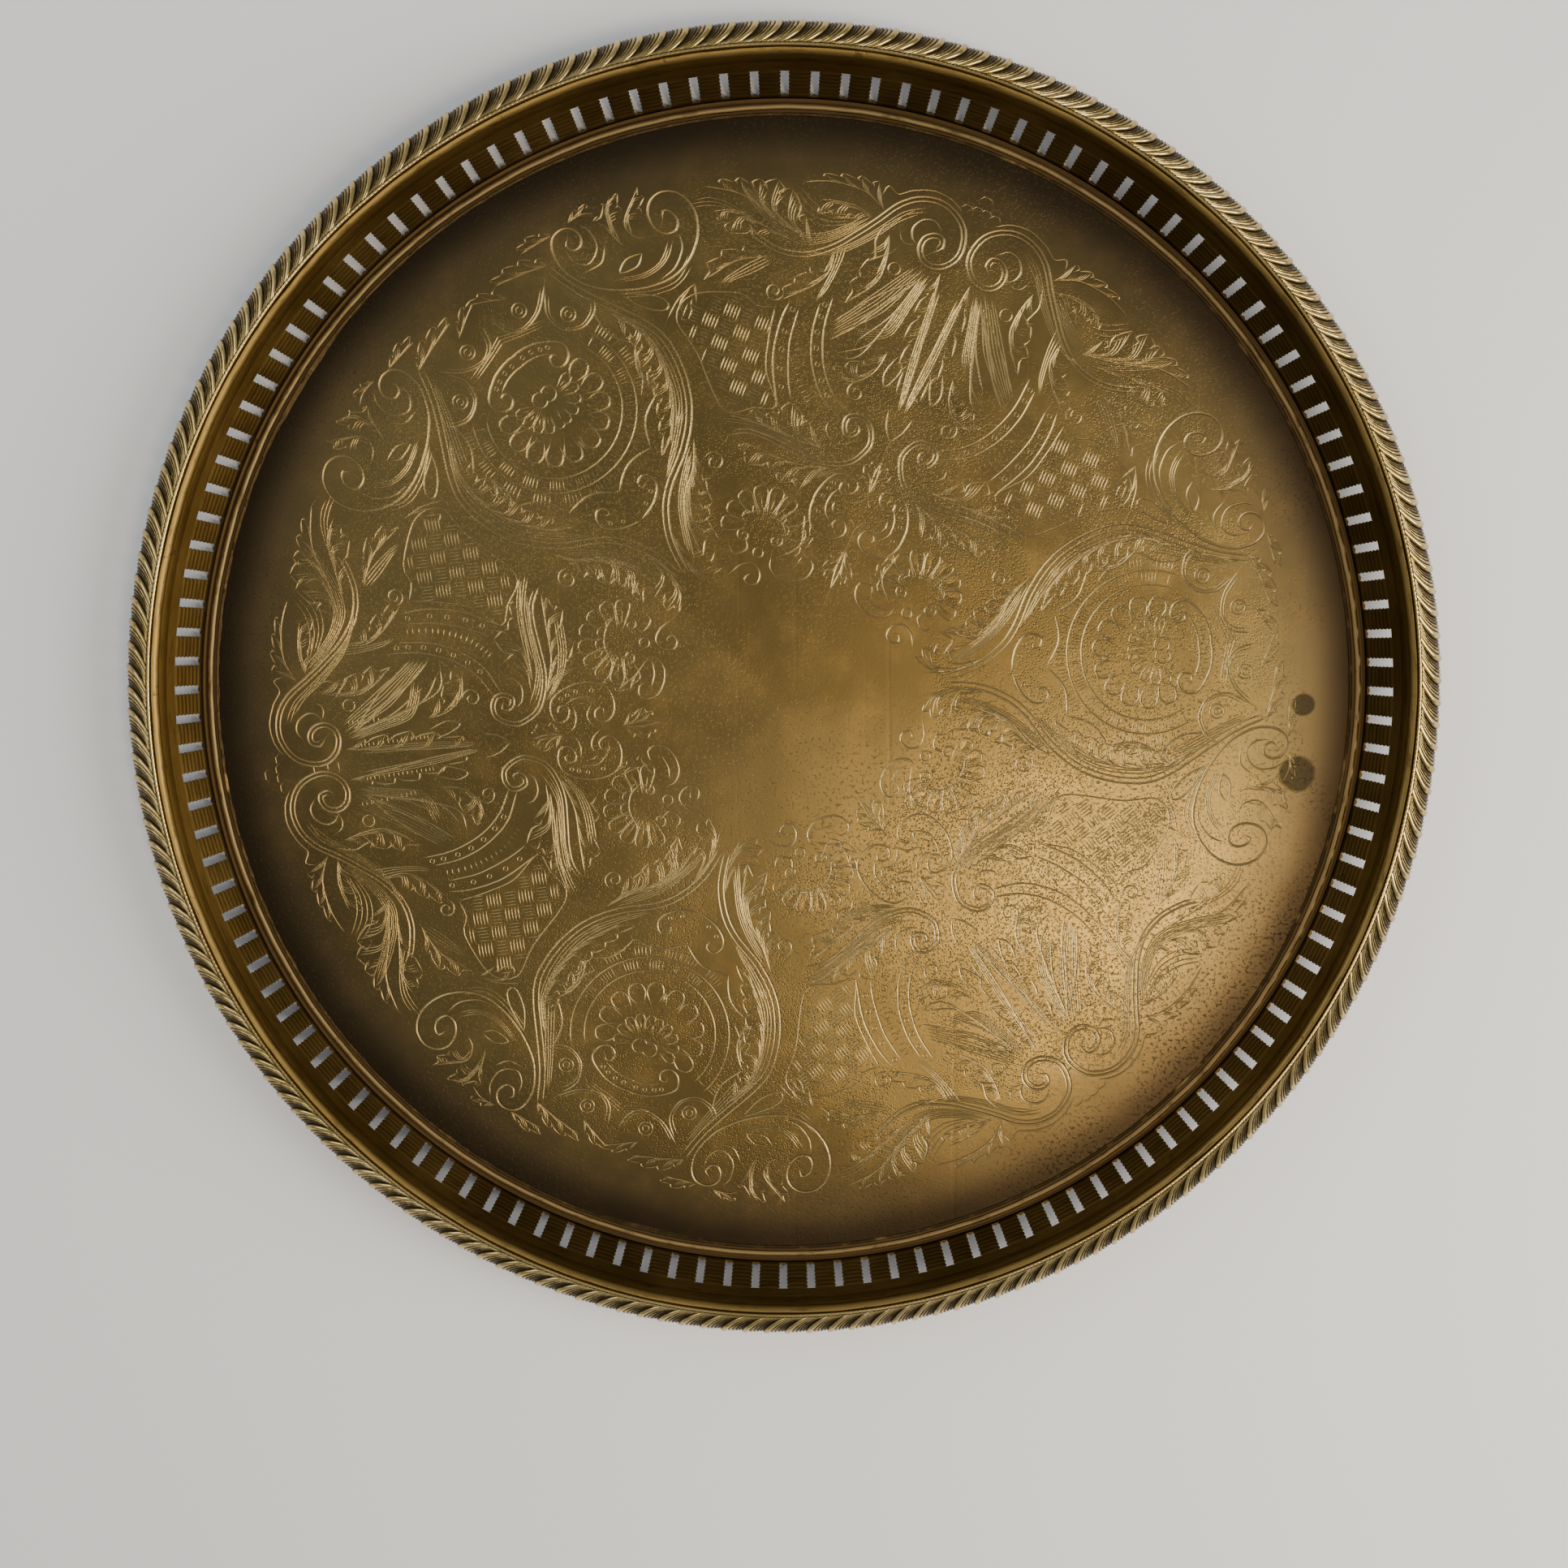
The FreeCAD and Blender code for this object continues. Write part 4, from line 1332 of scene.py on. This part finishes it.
# %% The hidden backing
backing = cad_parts["border_backing"]
backing.data.materials.clear()
backing.data.materials.append(solder_finish)
print("kept", backing.name)

# %% [markdown]
# ## Stage, light and camera
# The tray lies on a plain pale floor.  Brass is mostly seen by what it reflects, so a
# large soft panel lights the right, a small warm one makes the sheen on the floor, and a
# dim one fills the left.  The
# camera looks almost straight down, as one looks at a tray on a table.

# %% The stage


def pale_floor():
    finish = Finish("pale_floor")
    return finish.set(Base_Color=(0.80, 0.80, 0.79, 1), Roughness=0.85)


stage_mesh = bpy.data.meshes.new("stage_floor")
stage_mesh.from_pydata([(-2, -2, 0), (2, -2, 0), (2, 2, 0), (-2, 2, 0)], [], [(0, 1, 2, 3)])
stage_mesh.materials.append(pale_floor())
stage_floor = bpy.data.objects.new("stage_floor", stage_mesh)
bpy.context.scene.collection.objects.link(stage_floor)
stage_floor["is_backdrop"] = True


def panel(name, place, width, height, power, warmth, aim=(0, 0, 0)):
    """A soft rectangular light that faces a point."""
    light = bpy.data.lights.new(name, "AREA")
    light.shape = "RECTANGLE"
    light.size = width
    light.size_y = height
    light.energy = power
    light.color = warmth
    lamp = bpy.data.objects.new(name, light)
    lamp.location = place
    lamp.rotation_euler = (Vector(aim) - Vector(place)).to_track_quat("-Z", "Y").to_euler()
    bpy.context.scene.collection.objects.link(lamp)


panel("key", (0.95, -0.15, 0.65), 0.6, 0.9, 16, (1.0, 0.95, 0.88))
panel("fill", (-0.9, 0.5, 0.8), 0.8, 0.8, 5, (0.94, 0.97, 1.0))
panel("sheen", (0.30, -0.27, 1.0), 0.12, 0.24, 3.6, (1.0, 0.78, 0.50), (0.10, -0.08, 0))

world = bpy.data.worlds.new("studio")
world.use_nodes = True
world.node_tree.nodes["Background"].inputs["Color"].default_value = (0.92, 0.95, 1.0, 1)
world.node_tree.nodes["Background"].inputs["Strength"].default_value = 0.45
bpy.context.scene.world = world

# %% The camera
eye = bpy.data.cameras.new("eye")
eye.lens = 37.27
camera = bpy.data.objects.new("camera", eye)
camera.location = (0, 0.0347, 0.5167)
camera.rotation_euler = (-0.1168, 0, 0)
bpy.context.scene.collection.objects.link(camera)
bpy.context.scene.camera = camera

# %% [markdown]
# ## Sizes before and after
# The last value gives the sizes before and after as plain numbers, so the two can be compared.

# %% Sizes before and after


def plain(value):
    """Nested vectors as nested lists of numbers."""
    if isinstance(value, (int, float)):
        return round(float(value), 6)
    if isinstance(value, dict):
        return {key: plain(part) for key, part in value.items()}
    return [plain(part) for part in value]


{"cad": plain(cad_bounds), "visual": plain(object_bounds())}
